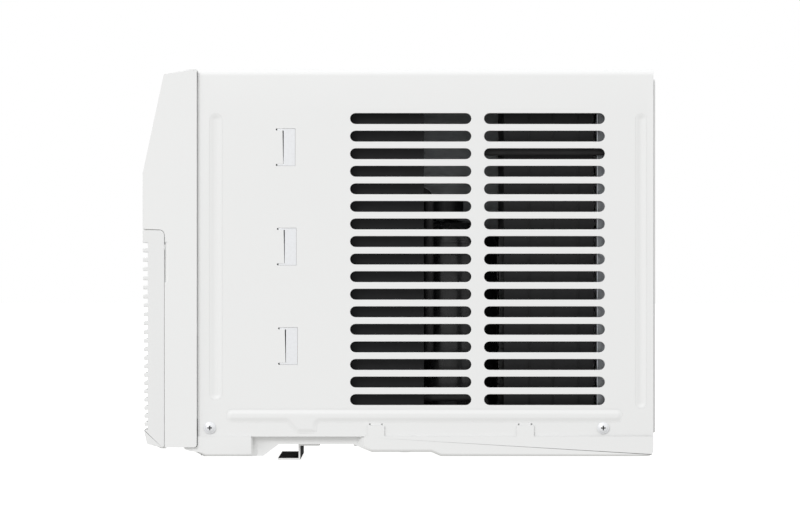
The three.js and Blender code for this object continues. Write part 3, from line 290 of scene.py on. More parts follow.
def solder_resist(name, color):
    """Circuit board: raised tracks under green lacquer."""
    finish = Finish(name, color, 0.35)
    tracks = finish.span(finish.cells(180, "Distance"), 0, 1, 0.35, 0.4)
    finish.drift(tracks, 0.3, (1, 1.25, 1.05))
    finish.gloss(tracks, 0.06)
    finish.bump(tracks, 0.00004)
    return finish.material


def finishes():
    """One material for each slot in the record."""
    paint = (0.80, 0.803, 0.80)
    return {
        "white_paint": powder_coat("white_paint", paint),
        "frame_plastic": moulded("frame_plastic", (0.80, 0.803, 0.80)),
        "panel_plastic": moulded("panel_plastic", (0.79, 0.795, 0.797), 0.36),
        "button_plastic": moulded("button_plastic", (0.62, 0.635, 0.645), 0.34),
        "grille_plastic": moulded("grille_plastic", (0.775, 0.778, 0.776), 0.5),
        "smoked_lens": polished("smoked_lens", (0.012, 0.013, 0.015)),
        "filter_mesh": moulded("filter_mesh", (0.04, 0.045, 0.05), 0.6, 0.15),
        "circuit_board": solder_resist("circuit_board", (0.015, 0.09, 0.04)),
        "zinc_screw": plated("zinc_screw", (0.84, 0.845, 0.86)),
        "coil_fins": drawn_metal("coil_fins", (0.62, 0.63, 0.64), 0.4, (1, 1, 0.08)),
        "galvanised_sheet": galvanised("galvanised_sheet", (0.56, 0.58, 0.60)),
        # near-black bulkhead: painted shade for the inside seen through the side slots
        "dark_sheet": powder_coat("dark_sheet", (0.017, 0.0172, 0.018), 0.6, 0.15),
        "casing_plastic": moulded("casing_plastic", (0.62, 0.63, 0.60), 0.6, 0.04),
        "fan_plastic": moulded("fan_plastic", (0.018, 0.0182, 0.019), 0.55, 0.12, 0.2),
        "bright_steel": drawn_metal("bright_steel", (0.62, 0.63, 0.64), 0.22, (6, 0.2, 6)),
        "motor_steel": drawn_metal("motor_steel", (0.30, 0.31, 0.32), 0.42, (4, 0.6, 4), 0.12),
        "black_paint": enamel("black_paint", (0.010, 0.0105, 0.011)),
        "black_plastic": moulded("black_plastic", (0.012, 0.0125, 0.0135), 0.45, 0.2),
        "black_rubber": soft_rubber("black_rubber", (0.010, 0.010, 0.0105)),
        "pipe_foam": soft_rubber("pipe_foam", (0.032, 0.032, 0.033)),
        "copper": tarnished_copper("copper", (0.60, 0.26, 0.13)),
        "capacitor_can": drawn_metal("capacitor_can", (0.60, 0.61, 0.62), 0.3, (1, 1, 0.1)),
    }


MATERIALS = finishes()

# ---------- mesh helpers ----------


def add_object(name, mesh):
    obj = bpy.data.objects.new(name, mesh)
    bpy.context.scene.collection.objects.link(obj)
    return obj


def stands_for(name, mesh, *nodes):
    """Puts a finished mesh in place of CAD nodes that share a body and a slot."""
    obj = add_object(name, mesh)
    slot = SLOT_OF[nodes[0]]
    if not mesh.materials:
        mesh.materials.append(MATERIALS[slot])
    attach(obj, BODY_OF[nodes[0]])
    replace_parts(obj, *nodes)
    return obj


def goes_with(name, mesh, node, slot):
    """A detail that rides with a CAD node's body and has its own finish."""
    obj = add_object(name, mesh)
    mesh.materials.append(MATERIALS[slot])
    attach(obj, BODY_OF[node])
    return obj


def soften(mesh, degrees=32):
    mesh.shade_smooth()
    mesh.set_sharp_from_angle(angle=math.radians(degrees))


def to_mesh(bm, name, degrees=32):
    bmesh.ops.recalc_face_normals(bm, faces=bm.faces)
    mesh = bpy.data.meshes.new(name)
    bm.to_mesh(mesh)
    bm.free()
    soften(mesh, degrees)
    return mesh


def join_meshes(name, meshes, degrees=32):
    bm = bmesh.new()
    for mesh in meshes:
        bm.from_mesh(mesh)
    joined = bpy.data.meshes.new(name)
    bm.to_mesh(joined)
    bm.free()
    soften(joined, degrees)
    return joined


def evaluated(obj):
    """The final mesh of a helper object, which is then thrown away."""
    bpy.context.view_layer.update()
    depsgraph = bpy.context.evaluated_depsgraph_get()
    mesh = bpy.data.meshes.new_from_object(obj.evaluated_get(depsgraph))
    bpy.data.objects.remove(obj)
    return mesh


def arc(u, v, radius, start, end, steps):
    """Points along an arc, in degrees."""
    turns = [math.radians(start + (end - start) * i / steps) for i in range(steps + 1)]
    return [(u + radius * math.cos(t), v + radius * math.sin(t)) for t in turns]


def stadium(u0, u1, v, height, steps=8):
    r = height / 2
    return arc(u1 - r, v, r, -90, 90, steps) + arc(u0 + r, v, r, 90, 270, steps)


def round_box(u0, u1, v0, v1, radius, steps=5):
    r = radius
    return (
        arc(u1 - r, v0 + r, r, -90, 0, steps)
        + arc(u1 - r, v1 - r, r, 0, 90, steps)
        + arc(u0 + r, v1 - r, r, 90, 180, steps)
        + arc(u0 + r, v0 + r, r, 180, 270, steps)
    )


def plate(loops, thickness, edge):
    """A flat sheet with holes and rounded edges, in its own XY plane, with its middle at height 0."""
    curve = bpy.data.curves.new("plate", "CURVE")
    curve.dimensions = "2D"
    curve.fill_mode = "BOTH"
    curve.extrude = thickness / 2 - edge
    curve.bevel_depth = edge
    curve.bevel_resolution = 1
    curve.offset = -edge
    for loop in loops:
        spline = curve.splines.new("POLY")
        spline.points.add(len(loop) - 1)
        for point, (u, v) in zip(spline.points, loop):
            point.co = (u, v, 0, 1)
        spline.use_cyclic_u = True
    return evaluated(add_object("plate", curve))


def moved(mesh, where):
    """The mesh with each point (u, v, n) put where a function says."""
    for vertex in mesh.vertices:
        vertex.co = where(*vertex.co)
    mesh.update()
    return mesh


def turned(profile, centre, axis, sides=48):
    """A turned piece from a profile of (radius, height), with its axis along x, y or z."""
    bm = bmesh.new()
    ends = {}
    rings = []
    for radius, height in profile:
        if radius == 0:
            ends[len(rings)] = True
            rings.append([bm.verts.new((0, 0, height))])
            continue
        ring = []
        for i in range(sides):
            turn = 2 * math.pi * i / sides
            ring.append(bm.verts.new((radius * math.cos(turn), radius * math.sin(turn), height)))
        rings.append(ring)
    for lower, upper in zip(rings, rings[1:]):
        for i in range(sides):
            k = (i + 1) % sides
            corners = [
                lower[i % len(lower)],
                lower[k % len(lower)],
                upper[k % len(upper)],
                upper[i % len(upper)],
            ]
            unique = list(dict.fromkeys(corners))
            if len(unique) > 2:
                bm.faces.new(unique)
    turn = {
        "x": Matrix.Rotation(math.pi / 2, 4, "Y"),
        "y": Matrix.Rotation(-math.pi / 2, 4, "X"),
        "z": Matrix(),
    }
    bm.transform(Matrix.Translation(centre) @ turn[axis])
    return to_mesh(bm, "turned")


def boxes(extents, edge=0.0):
    """Many plain bars or plates in one mesh, each from (x0, x1, y0, y1, z0, z1)."""
    bm = bmesh.new()
    for x0, x1, y0, y1, z0, z1 in extents:
        size = Matrix.Diagonal((x1 - x0, y1 - y0, z1 - z0, 1))
        middle = Matrix.Translation(((x0 + x1) / 2, (y0 + y1) / 2, (z0 + z1) / 2))
        bmesh.ops.create_cube(bm, size=1, matrix=middle @ size)
    if edge:
        bmesh.ops.bevel(bm, geom=bm.edges[:], offset=edge, segments=2, profile=0.5, affect="EDGES")
    return to_mesh(bm, "boxes")


def pipe(points, radius, bend, sides=12, steps=6):
    """A round tube through corner points, with a smooth bend at each corner."""
    places = [Vector(p) * MM for p in points]
    stations = [places[0]]
    for before, corner, after in zip(places, places[1:], places[2:]):
        back = corner + (before - corner).normalized() * bend
        ahead = corner + (after - corner).normalized() * bend
        for i in range(steps + 1):
            t = i / steps
            stations.append(back * (1 - t) ** 2 + corner * 2 * t * (1 - t) + ahead * t**2)
    stations.append(places[-1])
    return tube(stations, radius, sides)


def tube(stations, radius, sides=12):
    curve = bpy.data.curves.new("tube", "CURVE")
    curve.dimensions = "3D"
    curve.bevel_depth = radius
    curve.bevel_resolution = sides // 4
    curve.use_fill_caps = True
    spline = curve.splines.new("POLY")
    spline.points.add(len(stations) - 1)
    for point, station in zip(spline.points, stations):
        point.co = (*station, 1)
    mesh = evaluated(add_object("tube", curve))
    soften(mesh, 50)
    return mesh


# ---------- CAD nodes with softened edges ----------


WELD = 0.01 * MM  # points closer than this are one point
WIDE_EDGES = {
    "front_frame": (1.1 * MM, lambda v: abs(v.x) > 248.9 * MM and v.z > 20 * MM),
    "inlet_grille": (0.7 * MM, lambda v: abs(v.x) > 248.6 * MM),
    "base_pan": (2.6 * MM, lambda v: abs(v.x) > 246.4 * MM and v.z < 16 * MM),
}


def flat_faced(mesh):
    """The mesh with normals led by its large faces, so that rounded edges don't shade the flats."""
    obj = add_object("flat_faced", mesh)
    weighted = obj.modifiers.new("normals", "WEIGHTED_NORMAL")
    weighted.keep_sharp = True
    weighted.weight = 100
    return evaluated(obj)


def round_edges(bm, edges, offset, segments, clamp):
    bmesh.ops.bevel(
        bm, geom=edges, offset=offset, segments=segments, profile=0.5, affect="EDGES", clamp_overlap=clamp,
    )


def sharp_edges(bm):
    return [e for e in bm.edges if len(e.link_faces) == 2 and e.calc_face_angle(0) > math.radians(32)]


def softened(node, edge):
    """A copy of a CAD solid with clean faces and small radii along its edges."""
    bm = bmesh.new()
    bm.from_mesh(NODES[node].data)
    bmesh.ops.remove_doubles(bm, verts=bm.verts, dist=1e-6)
    bmesh.ops.dissolve_limit(bm, angle_limit=math.radians(0.5), verts=bm.verts, edges=bm.edges)
    if node in WIDE_EDGES:
        offset, inside = WIDE_EDGES[node]
        long = 3 * offset
        wide = [e for e in sharp_edges(bm) if all(inside(v.co) for v in e.verts) and e.calc_length() > long]
        round_edges(bm, wide, offset, 3, False)
    if edge:
        round_edges(bm, sharp_edges(bm), edge, 2, True)
    bmesh.ops.dissolve_degenerate(bm, dist=WELD, edges=bm.edges)
    mesh = bpy.data.meshes.new(node)
    bm.to_mesh(mesh)
    bm.free()
    soften(mesh)
    return stands_for(node + "_finished", flat_faced(mesh), node)


# ---------- cabinet ----------

WALL_RISE = WRAP_TOP - SHEET / 2 - WRAP_BEND - WRAP_BOTTOM
BEND_LENGTH = WRAP_BEND * math.pi / 2
TOP_WIDTH = 2 * (WALL_X - SHEET / 2 - WRAP_BEND)
WRAP_LENGTH = 2 * (WALL_RISE + BEND_LENGTH) + TOP_WIDTH


def wrapped(y, s, n):
    """Where a point of the flat cabinet sheet ends up once it is folded over the unit."""
    side = 1
    if s > WRAP_LENGTH / 2:
        side = -1
        s = WRAP_LENGTH - s
    middle = WALL_X - SHEET / 2
    if s <= WALL_RISE:
        return Vector((side * (middle + n), y, WRAP_BOTTOM + s))
    if s <= WALL_RISE + BEND_LENGTH:
        turn = (s - WALL_RISE) / WRAP_BEND
        reach = WRAP_BEND + n
        across = middle - WRAP_BEND + reach * math.cos(turn)
        return Vector((side * across, y, WRAP_BOTTOM + WALL_RISE + reach * math.sin(turn)))
    across = TOP_WIDTH / 2 - (s - WALL_RISE - BEND_LENGTH)
    return Vector((side * across, y, WRAP_TOP - SHEET / 2 + n))


def hook_places():
    for i in range(3):
        yield HOOK_Y + i * HOOK_PITCH * HOOK_LEAN, HOOK_TOP - i * HOOK_PITCH


def hook_outline(y, z):
    """The window of a hook, with a relief slot at its top and bottom that reaches forward."""
    low, high = z - HOOK_HALF, z + HOOK_HALF
    rear = y + HOOK_FLOOR
    slot = HOOK_CUT / 2
    tip = y - HOOK_RELIEF
    lean = HOOK_HALF * 2 * HOOK_SLANT
    return (
        [(rear, low), (rear, high)]
        + arc(tip, high - slot, slot, 90, 270, 6)
        + [(y - lean, high - HOOK_CUT), (y, low + HOOK_CUT)]
        + arc(tip, low + slot, slot, 90, 270, 6)
    )


def wall_holes():
    """Every hole in one side wall, as outlines of (y, z)."""
    holes = [hook_outline(y, z) for y, z in hook_places()]
    for start, end in SLOT_COLUMNS:
        for row in range(SLOT_ROWS):
            holes.append(stadium(start, end, SLOT_TOP - row * SLOT_PITCH, SLOT_HEIGHT))
    for y, z in SCREWS:
        holes.append(arc(y, z, 2.4 * MM, 0, 337.5, 15))
    for y in TAB_DOTS:
        holes.append(arc(y, TAB_DOT_RISE, 0.8 * MM, 0, 330, 11))
    return holes + [rounded(corners) for corners in (*GROOVES, RIDGE)]


def wrapper_sheet():
    flat = [round_box(WRAP_FRONT, WRAP_REAR, 0, WRAP_LENGTH, 1.5 * MM)]
    for hole in wall_holes():
        rising = [(y, z - WRAP_BOTTOM) for y, z in hole]
        flat.append(rising)
        flat.append([(y, WRAP_LENGTH - s) for y, s in reversed(rising)])
    bm = bmesh.new()
    bm.from_mesh(plate(flat, SHEET, EDGE))
    bends = 8
    for i in range(bends + 1):
        for s in (WALL_RISE + BEND_LENGTH * i / bends, WRAP_LENGTH - WALL_RISE - BEND_LENGTH * i / bends):
            geometry = bm.verts[:] + bm.edges[:] + bm.faces[:]
            bmesh.ops.bisect_plane(bm, geom=geometry, plane_co=(0, s, 0), plane_no=(0, 1, 0))
    mesh = bpy.data.meshes.new("wrapper")
    bm.to_mesh(mesh)
    bm.free()
    return moved(mesh, wrapped)


def rounded(corners, inset=0.0, steps=6):
    """An outline in metres from corners (u, v, radius) in mm, moved in by an inset."""
    points = []
    count = len(corners)
    for i, (u, v, radius) in enumerate(corners):
        before = (Vector((u, v)) - Vector(corners[i - 1][:2])).normalized()
        after = (Vector(corners[(i + 1) % count][:2]) - Vector((u, v))).normalized()
        bend = before.cross(after)
        inner = Vector((-before.y - after.y, before.x + after.x)) / (1 + before.dot(after))
        corner = Vector((u, v)) + inner * inset
        bent = max(0.3, radius - math.copysign(inset, bend))
        reach = bent * abs(bend) / (1 + before.dot(after))
        start = corner - before * reach
        centre = start + Vector((-before.y, before.x)) * math.copysign(bent, bend)
        turn = math.asin(max(-1, min(1, bend)))
        if before.dot(after) < 0:
            turn = math.copysign(math.pi, bend) - turn
        for k in range(steps + 1):
            arm = (start - centre)
            arm.rotate(Matrix.Rotation(turn * k / steps, 2))
            points.append(tuple((centre + arm) * MM))
    return points


def bead(corners, depth_sign, side):
    """A pressed bead: its rim flows out of the wall, and its bottom is flat."""
    bm = bmesh.new()
    front, back = [], []
    for inset, depth in PRESSING:
        outline = rounded(corners, inset)
        x = WALL_X + depth * MM * depth_sign
        front.append([bm.verts.new((side * x, y, z)) for y, z in outline])
        back.append([bm.verts.new((side * (x - SHEET), y, z)) for y, z in outline])
    count = len(front[0])
    rims = list(zip(front, front[1:])) + list(zip(back, back[1:])) + [(front[0], back[0])]
    for lower, upper in rims:
        for i in range(count):
            k = (i + 1) % count
            bm.faces.new((lower[i], lower[k], upper[k], upper[i]))
    bm.faces.new(front[-1])
    bm.faces.new(back[-1])
    return to_mesh(bm, "bead", 60)


def rear_flange():
    """The flange folded in round the open rear."""
    outer = round_box(-WALL_X + 0.2 * MM, WALL_X - 0.2 * MM, WRAP_BOTTOM, WRAP_TOP - 0.2 * MM, 5 * MM)
    inner = round_box(-233 * MM, 233 * MM, WRAP_BOTTOM + 0.2 * MM, WRAP_TOP - 12 * MM, 2 * MM)
    sheet = plate([outer, inner], SHEET, EDGE)
    return moved(sheet, lambda x, z, n: Vector((x, WRAP_REAR - SHEET / 2 + n, z)))


def cabinet():
    meshes = [wrapper_sheet(), rear_flange()]
    for side in (-1, 1):
        meshes.extend(bead(corners, -1, side) for corners in GROOVES)
        meshes.append(bead(RIDGE, 1, side))
    stands_for("cabinet_wrapper", join_meshes("cabinet_wrapper", meshes), "cabinet")
    floors = []
    for side in (-1, 1):
        for y, z in hook_places():
            low, high = z - HOOK_HALF + 0.15 * MM, z + HOOK_HALF - 0.15 * MM
            tip = y - HOOK_RELIEF + 0.4 * MM
            outline = [
                (y + HOOK_FLOOR - 0.15 * MM, low), (y + HOOK_FLOOR - 0.15 * MM, high), (tip, high),
                (tip, high - HOOK_CUT), (y + HOOK_GAP, high - HOOK_CUT), (y + HOOK_GAP, low + HOOK_CUT),
                (tip, low + HOOK_CUT), (tip, low),
            ]
            sheet = plate([outline], SHEET, EDGE)
            x = WALL_X - SHEET / 2 - 0.35 * MM
            floors.append(moved(sheet, lambda v, w, n, x=x, side=side: Vector((side * (x + n), v, w))))
    goes_with("hook_floors", join_meshes("hook_floors", floors), "cabinet", "zinc_screw")


cabinet()


# ---------- screws ----------

SCREW_HEAD = (
    (0, -7), (1.9, -7), (1.9, 0.3), (5.5, 0.3), (5.75, 0.5), (5.75, 1.0), (5.5, 1.25), (4.7, 1.35),
    (4.5, 1.5), (4.2, 2.0), (3.4, 2.5), (2.2, 2.85), (0, 3),
)
RECESS_REACH = 2.3 * MM
RECESS_WIDTH = 0.6 * MM
RECESS_FLOOR = WALL_X - 0.6 * MM


def cross_recess(side, y, z):
    """The cross that the driver fits, as a solid to cut away."""
    reach, width = RECESS_REACH, RECESS_WIDTH
    x0, x1 = sorted((side * RECESS_FLOOR, side * (WALL_X + 4 * MM)))
    flat = boxes([(x0, x1, y - reach, y + reach, z - width, z + width)])
    upright = boxes([(x0, x1, y - width, y + width, z - reach, z + reach)])
    return flat, upright


def subtract(mesh, tools):
    """The mesh less some solids."""
    body = add_object("body", mesh)
    helpers = []
    for tool in tools:
        helper = add_object("tool", tool)
        helpers.append(helper)
        cutter = body.modifiers.new("cut", "BOOLEAN")
        cutter.operation = "DIFFERENCE"
        cutter.solver = "EXACT"
        cutter.object = helper
    result = evaluated(body)
    for helper in helpers:
        bpy.data.objects.remove(helper)
    soften(result)
    return result


def paint_recess_shade(mesh, y, z):
    """Painted shade inside the cross: its inner faces take black paint in place of the shade of a deep
    recess.
    """
    for face in mesh.polygons:
        depth = abs(face.center.x) - WALL_X
        radius = math.hypot(face.center.y - y, face.center.z - z)
        if RECESS_FLOOR - WALL_X - EDGE < depth < 2 * MM and radius < 1.1 * RECESS_REACH:
            face.material_index = 1


for side, word in ((1, "right"), (-1, "left")):
    for (screw_y, screw_z), place in zip(SCREWS, ("front", "rear")):
        profile = [(r * MM, h * MM) for r, h in SCREW_HEAD]
        head = turned(profile, (0, 0, 0), "x", 32)
        head = moved(
            head,
            lambda x, y, z, s=side, v=screw_y, w=screw_z: Vector((s * (WALL_X + x), v + y, w + z)),
        )
        node = f"{place}_screw_{word}"
        mesh = subtract(head, cross_recess(side, screw_y, screw_z))
        mesh.materials.clear()
        mesh.materials.append(MATERIALS["zinc_screw"])
        # black paint here is painted shade, for the inside of the cross recess
        mesh.materials.append(MATERIALS["black_paint"])
        paint_recess_shade(mesh, screw_y, screw_z)
        stands_for(node + "_head", mesh, node)

# ---------- outdoor guard ----------

GUARD_COLUMNS = 3
GUARD_ROWS = 8
GUARD_WIRES = (6, 3)  # finer openings across and up each large one
GUARD_BAR = 1.3 * MM


def rear_guard():
    low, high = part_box("rear_guard")
    loops = [round_box(low.x, high.x, low.z, high.z, 5 * MM)]
    across, up = 149 * MM / GUARD_WIRES[0], 36 * MM / GUARD_WIRES[1]
    for column in range(GUARD_COLUMNS * GUARD_WIRES[0]):
        bay, wire = divmod(column, GUARD_WIRES[0])
        x = -228 * MM + bay * 153.5 * MM + wire * across
        for row in range(GUARD_ROWS * GUARD_WIRES[1]):
            bay, wire = divmod(row, GUARD_WIRES[1])
            z = 40 * MM + bay * 40 * MM + wire * up
            loops.append(round_box(x, x + across - GUARD_BAR, z, z + up - GUARD_BAR, 2.4 * MM, 3))
    thickness = high.y - low.y
    sheet = plate(loops, thickness, 0.5 * MM)
    middle = (low.y + high.y) / 2
    mesh = moved(sheet, lambda x, z, n: Vector((x, middle - n, z)))
    soften(mesh, 60)
    stands_for("rear_guard_sheet", mesh, "rear_guard")


rear_guard()

# ---------- coils ----------

FIN_PITCH = 2.1 * MM
FIN_SHEET = 0.16 * MM
TUBE_RADIUS = 4 * MM
TUBE_ROWS = 4
TUBE_SHARES = (0.3, 0.7)
RETURN_REACH = 12 * MM


def coil(side):
    """A pack of thin fins on copper tubes with their return bends."""
    node = side + "_coil"
    low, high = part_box(node)
    x0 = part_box(side + "_plate_left")[1].x + 0.4 * MM
    x1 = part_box(side + "_plate_right")[0].x - 0.4 * MM
    count = int((x1 - x0) / FIN_PITCH)
    fins = []
    for i in range(count + 1):
        x = x0 + (x1 - x0 - FIN_SHEET) * i / count
        fins.append((x, x + FIN_SHEET, low.y, high.y, low.z, high.z))
    stands_for(side + "_fins", boxes(fins), node)
    step = (high.z - low.z) / TUBE_ROWS
    near, far = ((low.y + (high.y - low.y) * share) / MM for share in TUBE_SHARES)
    tubes = []
    for row in range(TUBE_ROWS):
        z = (low.z + step * (row + 0.5)) / MM
        left, right = (x0 - RETURN_REACH) / MM, (x1 + RETURN_REACH) / MM
        ends = [
            (0, near, z),
            (left, near, z),
            (left, far, z),
            (0, far, z),
            (right, far, z),
            (right, near, z),
            (2, near, z),
        ]
        tubes.append(pipe(ends, TUBE_RADIUS, 6 * MM))
    goes_with(side + "_tubes", join_meshes(side + "_tubes", tubes, 50), node, "copper")


coil("evaporator")
coil("condenser")

# ---------- filter ----------

FILTER_CELLS = (5, 3)
FILTER_BORDER = 4 * MM
FILTER_BAR = 1.5 * MM
THREAD_PITCH = 2.2 * MM
THREAD = 0.32 * MM


def air_filter():
    low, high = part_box("air_filter")
    inner = (low.x + FILTER_BORDER, high.x - FILTER_BORDER, low.z + FILTER_BORDER, high.z - FILTER_BORDER)
    width = (inner[1] - inner[0]) / FILTER_CELLS[0]
    height = (inner[3] - inner[2]) / FILTER_CELLS[1]
    loops = [round_box(low.x, high.x, low.z, high.z, 2 * MM)]
    for column in range(FILTER_CELLS[0]):
        for row in range(FILTER_CELLS[1]):
            x, z = inner[0] + column * width, inner[2] + row * height
            mesh_hole = round_box(
                x + FILTER_BAR,
                x + width - FILTER_BAR,
                z + FILTER_BAR,
                z + height - FILTER_BAR,
                2 * MM,
            )
            loops.append(mesh_hole)
    sheet = plate(loops, high.y - low.y, 0.4 * MM)
    middle = (low.y + high.y) / 2
    bars = moved(sheet, lambda x, z, n: Vector((x, middle - n, z)))
    threads = []
    back = high.y - 0.4 * MM
    for i in range(1, int((inner[1] - inner[0]) / THREAD_PITCH)):
        x = inner[0] + i * THREAD_PITCH
        threads.append((x, x + THREAD, back - THREAD, back, inner[2], inner[3]))
    for i in range(1, int((inner[3] - inner[2]) / THREAD_PITCH)):
        z = inner[2] + i * THREAD_PITCH
        threads.append((inner[0], inner[1], back - 1.6 * THREAD, back - 0.6 * THREAD, z, z + THREAD))
    mesh = join_meshes("air_filter", [bars, boxes(threads)])
    stands_for("air_filter_mesh", mesh, "air_filter")


air_filter()

# ---------- pipes ----------

SUCTION = (
    (152.2, -168, 262), (200, -168, 262), (200, -48, 262), (222, -20, 262), (222, 29, 262), (222, 29, 100),
    (222, -12, 100), (84, -12, 100), (84, -12, 240), (84, 34, 240), (84, 34, 214.6),
)
DISCHARGE = (
    (140, 78, 232.8), (140, 78, 300), (236, 78, 300),
    (236, 215, 300), (236, 215, 358), (216, 215, 358),
)
LIQUID = ((216, 215, 46), (236, 215, 46), (236, 84, 46), (222, 84, 60), (222, 20, 60))


def capillary_route():
    """Out of the drier, through the bulkhead, three turns of a coil, and on to the indoor coil."""
    stations = [Vector((222, -40.8, 60)), Vector((222, -64, 60))]
    steps = 90
    for i in range(steps + 1):
        turn = i / steps * 6 * math.pi
        stations.append(Vector((190 + 18 * math.cos(turn), -82 - i / steps * 18, 110 + 18 * math.sin(turn))))
    stations += [Vector((170, -140, 92)), Vector((153, -168, 92))]
    return [station * MM for station in stations]


stands_for("suction_pipe", pipe(SUCTION, 4.6 * MM, 10 * MM, 20, 8), "suction_line")
stands_for("discharge_pipe", pipe(DISCHARGE, 3.2 * MM, 7 * MM, 16, 8), "discharge_line")
stands_for("liquid_pipe", pipe(LIQUID, 3.2 * MM, 6 * MM, 16, 8), "liquid_line")
stands_for("capillary", tube(capillary_route(), 1.5 * MM, 12), "capillary_tube")

# ---------- buttons ----------

CAP_WIDTH = 19 * MM
CAP_HEIGHT = 9.5 * MM
PRINT = 0.12 * MM  # thickness of a printed symbol


def bar(x, z, length, width, degrees):
    """A thin bar as an outline, turned about its middle."""
    turn = math.radians(degrees)
    along = Vector((math.cos(turn), math.sin(turn))) * length / 2
    across = Vector((-math.sin(turn), math.cos(turn))) * width / 2
    middle = Vector((x, z))
    return [tuple(middle + a * along + b * across) for a, b in ((-1, -1), (1, -1), (1, 1), (-1, 1))]


def ring_part(x, z, radius, width, start, end):
    outer = arc(x, z, radius, start, end, 20)
    return outer + arc(x, z, radius - width, end, start, 20)


def symbol(kind, x, z):
    """The outlines of one plain symbol, about 5 mm high."""
    line = 0.45 * MM
    if kind == "power":
        return [ring_part(x, z, 2.2 * MM, line, -240, 60), bar(x, z + 1.5 * MM, 2 * MM, line, 90)]
    if kind == "mode":
        return [bar(x, z, 5 * MM, line, angle) for angle in (30, 90, 150)]
    if kind == "fan_speed":
        blades = [
            stadium(0.5 * MM, 2.5 * MM, 0, 1.2 * MM, 6),
        ]
        turned_blades = []
        for angle in (90, 210, 330):
            cosine, sine = math.cos(math.radians(angle)), math.sin(math.radians(angle))
            for blade in blades:
                turned_blades.append([
                    (x + u * cosine - v * sine, z + u * sine + v * cosine)
                    for u, v in blade
                ])
        return turned_blades
    if kind == "timer":
        return [
            ring_part(x, z, 2.3 * MM, line, 0, 350),
            bar(x, z + 0.7 * MM, 1.5 * MM, line, 90),
            bar(x + 0.6 * MM, z, 1.2 * MM, line, 0),
        ]
    rise = (1 if kind == "temperature_up" else -1) * 1.6 * MM
    return [[(x - 2.2 * MM, z - rise), (x + 2.2 * MM, z - rise), (x, z + rise)]]


def push_button(node):
    low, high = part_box(node)
    x, z = (low.x + high.x) / 2, (low.z + high.z) / 2
    front = low.y + PRINT
    cap_outline = round_box(
        x - CAP_WIDTH / 2,
        x + CAP_WIDTH / 2,
        z - CAP_HEIGHT / 2,
        z + CAP_HEIGHT / 2,
        2.2 * MM,
        6,
    )
    depth = high.y - front
    cap = moved(plate([cap_outline], depth, 0.7 * MM), lambda u, v, n: Vector((u, front + depth / 2 - n, v)))
    collar_outline = round_box(low.x, high.x, low.z, high.z, 2 * MM)
    collar_depth = 1.2 * MM
    collar = moved(
        plate([collar_outline], collar_depth, 0.2 * MM),
        lambda u, v, n: Vector((u, high.y + 0.2 * MM - collar_depth / 2 - n, v)),
    )
    stands_for(node + "_cap", join_meshes(node, [cap, collar]), node)
    marks = []
    for outline in symbol(node.replace("_button", ""), x, z):
        mark = plate([outline], PRINT, 0.02 * MM)
        marks.append(moved(mark, lambda u, v, n: Vector((u, front - n, v))))
    goes_with(node + "_symbol", join_meshes(node, marks), node, "black_plastic")


for member in SLOT_OF:
    if member.endswith("_button"):
        push_button(member)

# ---------- shroud ----------


def shroud_ribs():
    """Upright ribs that stiffen the sides of the shroud."""
    low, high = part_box("fan_shroud")
    ribs = []
    for y in (126 * MM, 149 * MM, 174 * MM):
        for x in (low.x - 0.8 * MM, high.x):
            ribs.append((x, x + 0.8 * MM, y, y + 1.4 * MM, low.z + 12 * MM, high.z - 12 * MM))
    goes_with("shroud_ribs", boxes(ribs, 0.2 * MM), "fan_shroud", "fan_plastic")


shroud_ribs()

# ---------- remaining nodes ----------

EDGES = {  # millimetres; nothing where a piece has only the radii in WIDE_EDGES
    "front_frame": 0, "inlet_grille": 0.45, "control_panel": 0.3, "outlet_duct": 0.3,
    "base_pan": 0, "sill_bracket_right": 0.3, "sill_bracket_left": 0.3,
    "scroll_casing": 0.5, "bulkhead": 0.25, "fan_shroud": 0.4, "control_box": 0.3,
}
DEFAULT_EDGE = 0.25

handled = {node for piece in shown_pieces() for node in piece.get("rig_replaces", [])}
for node in sorted(set(NODES) - handled):
    softened(node, EDGES.get(node, DEFAULT_EDGE) * MM)


def shade_bracket_faces():
    """Painted shade: black on the upper and rear faces of the sill brackets, where shade falls under the
    pan.
    """
    for word in ("right", "left"):
        obj = bpy.data.objects[f"sill_bracket_{word}_finished"]
        # black rubber here is painted shade under the pan
        obj.data.materials.append(MATERIALS["black_rubber"])
        for face in obj.data.polygons:
            upper = face.normal.z > 0.8 and face.center.z < 5 * MM
            rear = face.normal.y > 0.8 and face.center.z > 2.5 * MM
            if upper or rear:
                face.material_index = 1


shade_bracket_faces()


def bulkhead_light_and_shade():
    """Painted light and shade on the bulkhead: the rear middle of the brace takes a lighter dark steel to
    make up for the little light that reaches it, and the rest keeps the near-black that stands for the shade
    behind the slots.
    """
    obj = bpy.data.objects["bulkhead_finished"]
    # motor steel here is painted light, for the dim rear of the brace
    obj.data.materials.append(MATERIALS["motor_steel"])
    for face in obj.data.polygons:
        if abs(face.center.x) < 100 * MM and face.center.y > -30 * MM:
            face.material_index = 1


bulkhead_light_and_shade()

# ---------- stage ----------


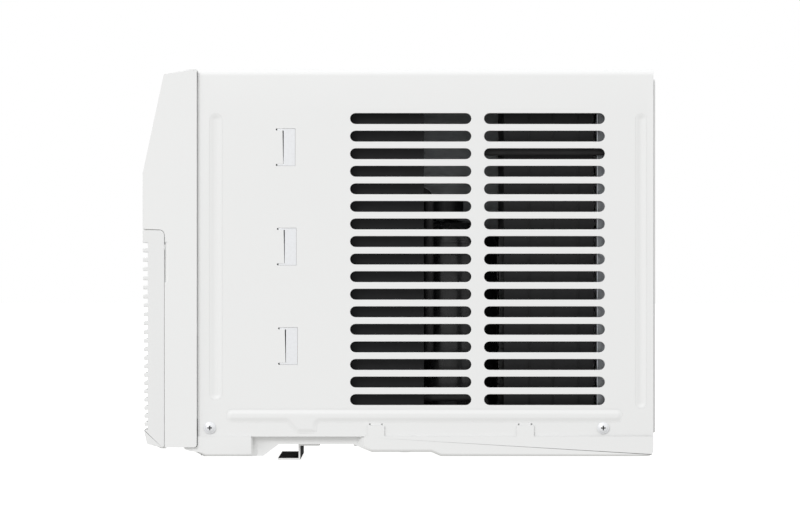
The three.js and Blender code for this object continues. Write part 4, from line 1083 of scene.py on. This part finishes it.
def floor():
    """A pale floor, lit from inside so that it stays even under the unit."""
    bm = bmesh.new()
    bmesh.ops.create_grid(bm, x_segments=8, y_segments=8, size=12)
    mesh = to_mesh(bm, "floor")
    finish = Finish("pale_floor", (0.3, 0.3, 0.3), 0.9)
    finish.drift(finish.noise(2), 0.01)
    finish.shader.inputs["Emission Color"].default_value = (1, 1, 1, 1)
    finish.shader.inputs["Emission Strength"].default_value = 0.9
    mesh.materials.append(finish.material)
    obj = add_object("floor", mesh)
    obj.location.z = -0.2 * MM
    obj.visible_diffuse = False
    obj.visible_glossy = False
    obj.visible_shadow = False


def soft_light(name, place, size, watts):
    """A round lamp that looks at the middle of the unit."""
    light = bpy.data.lights.new(name, "AREA")
    light.shape = "DISK"
    light.size = size
    light.energy = watts
    obj = bpy.data.objects.new(name, light)
    obj.location = place
    obj.rotation_euler = (Vector((0, 0, 0.2)) - Vector(place)).to_track_quat("-Z", "Y").to_euler()
    bpy.context.scene.collection.objects.link(obj)


def studio():
    world = bpy.data.worlds.new("studio")
    world.use_nodes = True
    tree = world.node_tree
    background = tree.nodes["Background"]
    split = tree.nodes.new("ShaderNodeSeparateXYZ")
    tree.links.new(tree.nodes.new("ShaderNodeTexCoord").outputs["Generated"], split.inputs["Vector"])
    height = tree.nodes.new("ShaderNodeMapRange")
    height.inputs["From Min"].default_value = -1
    tree.links.new(split.outputs["Z"], height.inputs["Value"])
    ramp = tree.nodes.new("ShaderNodeValToRGB")
    ramp.color_ramp.elements.new(0.5)
    for element, color in zip(ramp.color_ramp.elements, (BELOW_LIGHT, LEVEL_LIGHT, OVERHEAD_LIGHT)):
        element.color = (*color, 1)
    tree.links.new(height.outputs["Result"], ramp.inputs["Fac"])
    seen = tree.nodes.new("ShaderNodeMix")
    seen.data_type = "RGBA"
    seen.inputs["B"].default_value = (1, 1, 1, 1)
    tree.links.new(tree.nodes.new("ShaderNodeLightPath").outputs["Is Camera Ray"], seen.inputs["Factor"])
    tree.links.new(ramp.outputs["Color"], seen.inputs["A"])
    tree.links.new(seen.outputs["Result"], background.inputs["Color"])
    bpy.context.scene.world = world
    soft_light("key", KEY_PLACE, KEY_SIZE, KEY_WATTS)
    camera = bpy.data.cameras.new("camera")
    camera.lens = CAMERA_LENS
    camera.clip_end = 100
    obj = bpy.data.objects.new("camera", camera)
    obj.location = CAMERA_PLACE
    obj.rotation_euler = (math.pi / 2, 0, math.pi / 2)
    bpy.context.scene.collection.objects.link(obj)
    bpy.context.scene.camera = obj
    bpy.context.scene.view_settings.view_transform = "Standard"


floor()
studio()
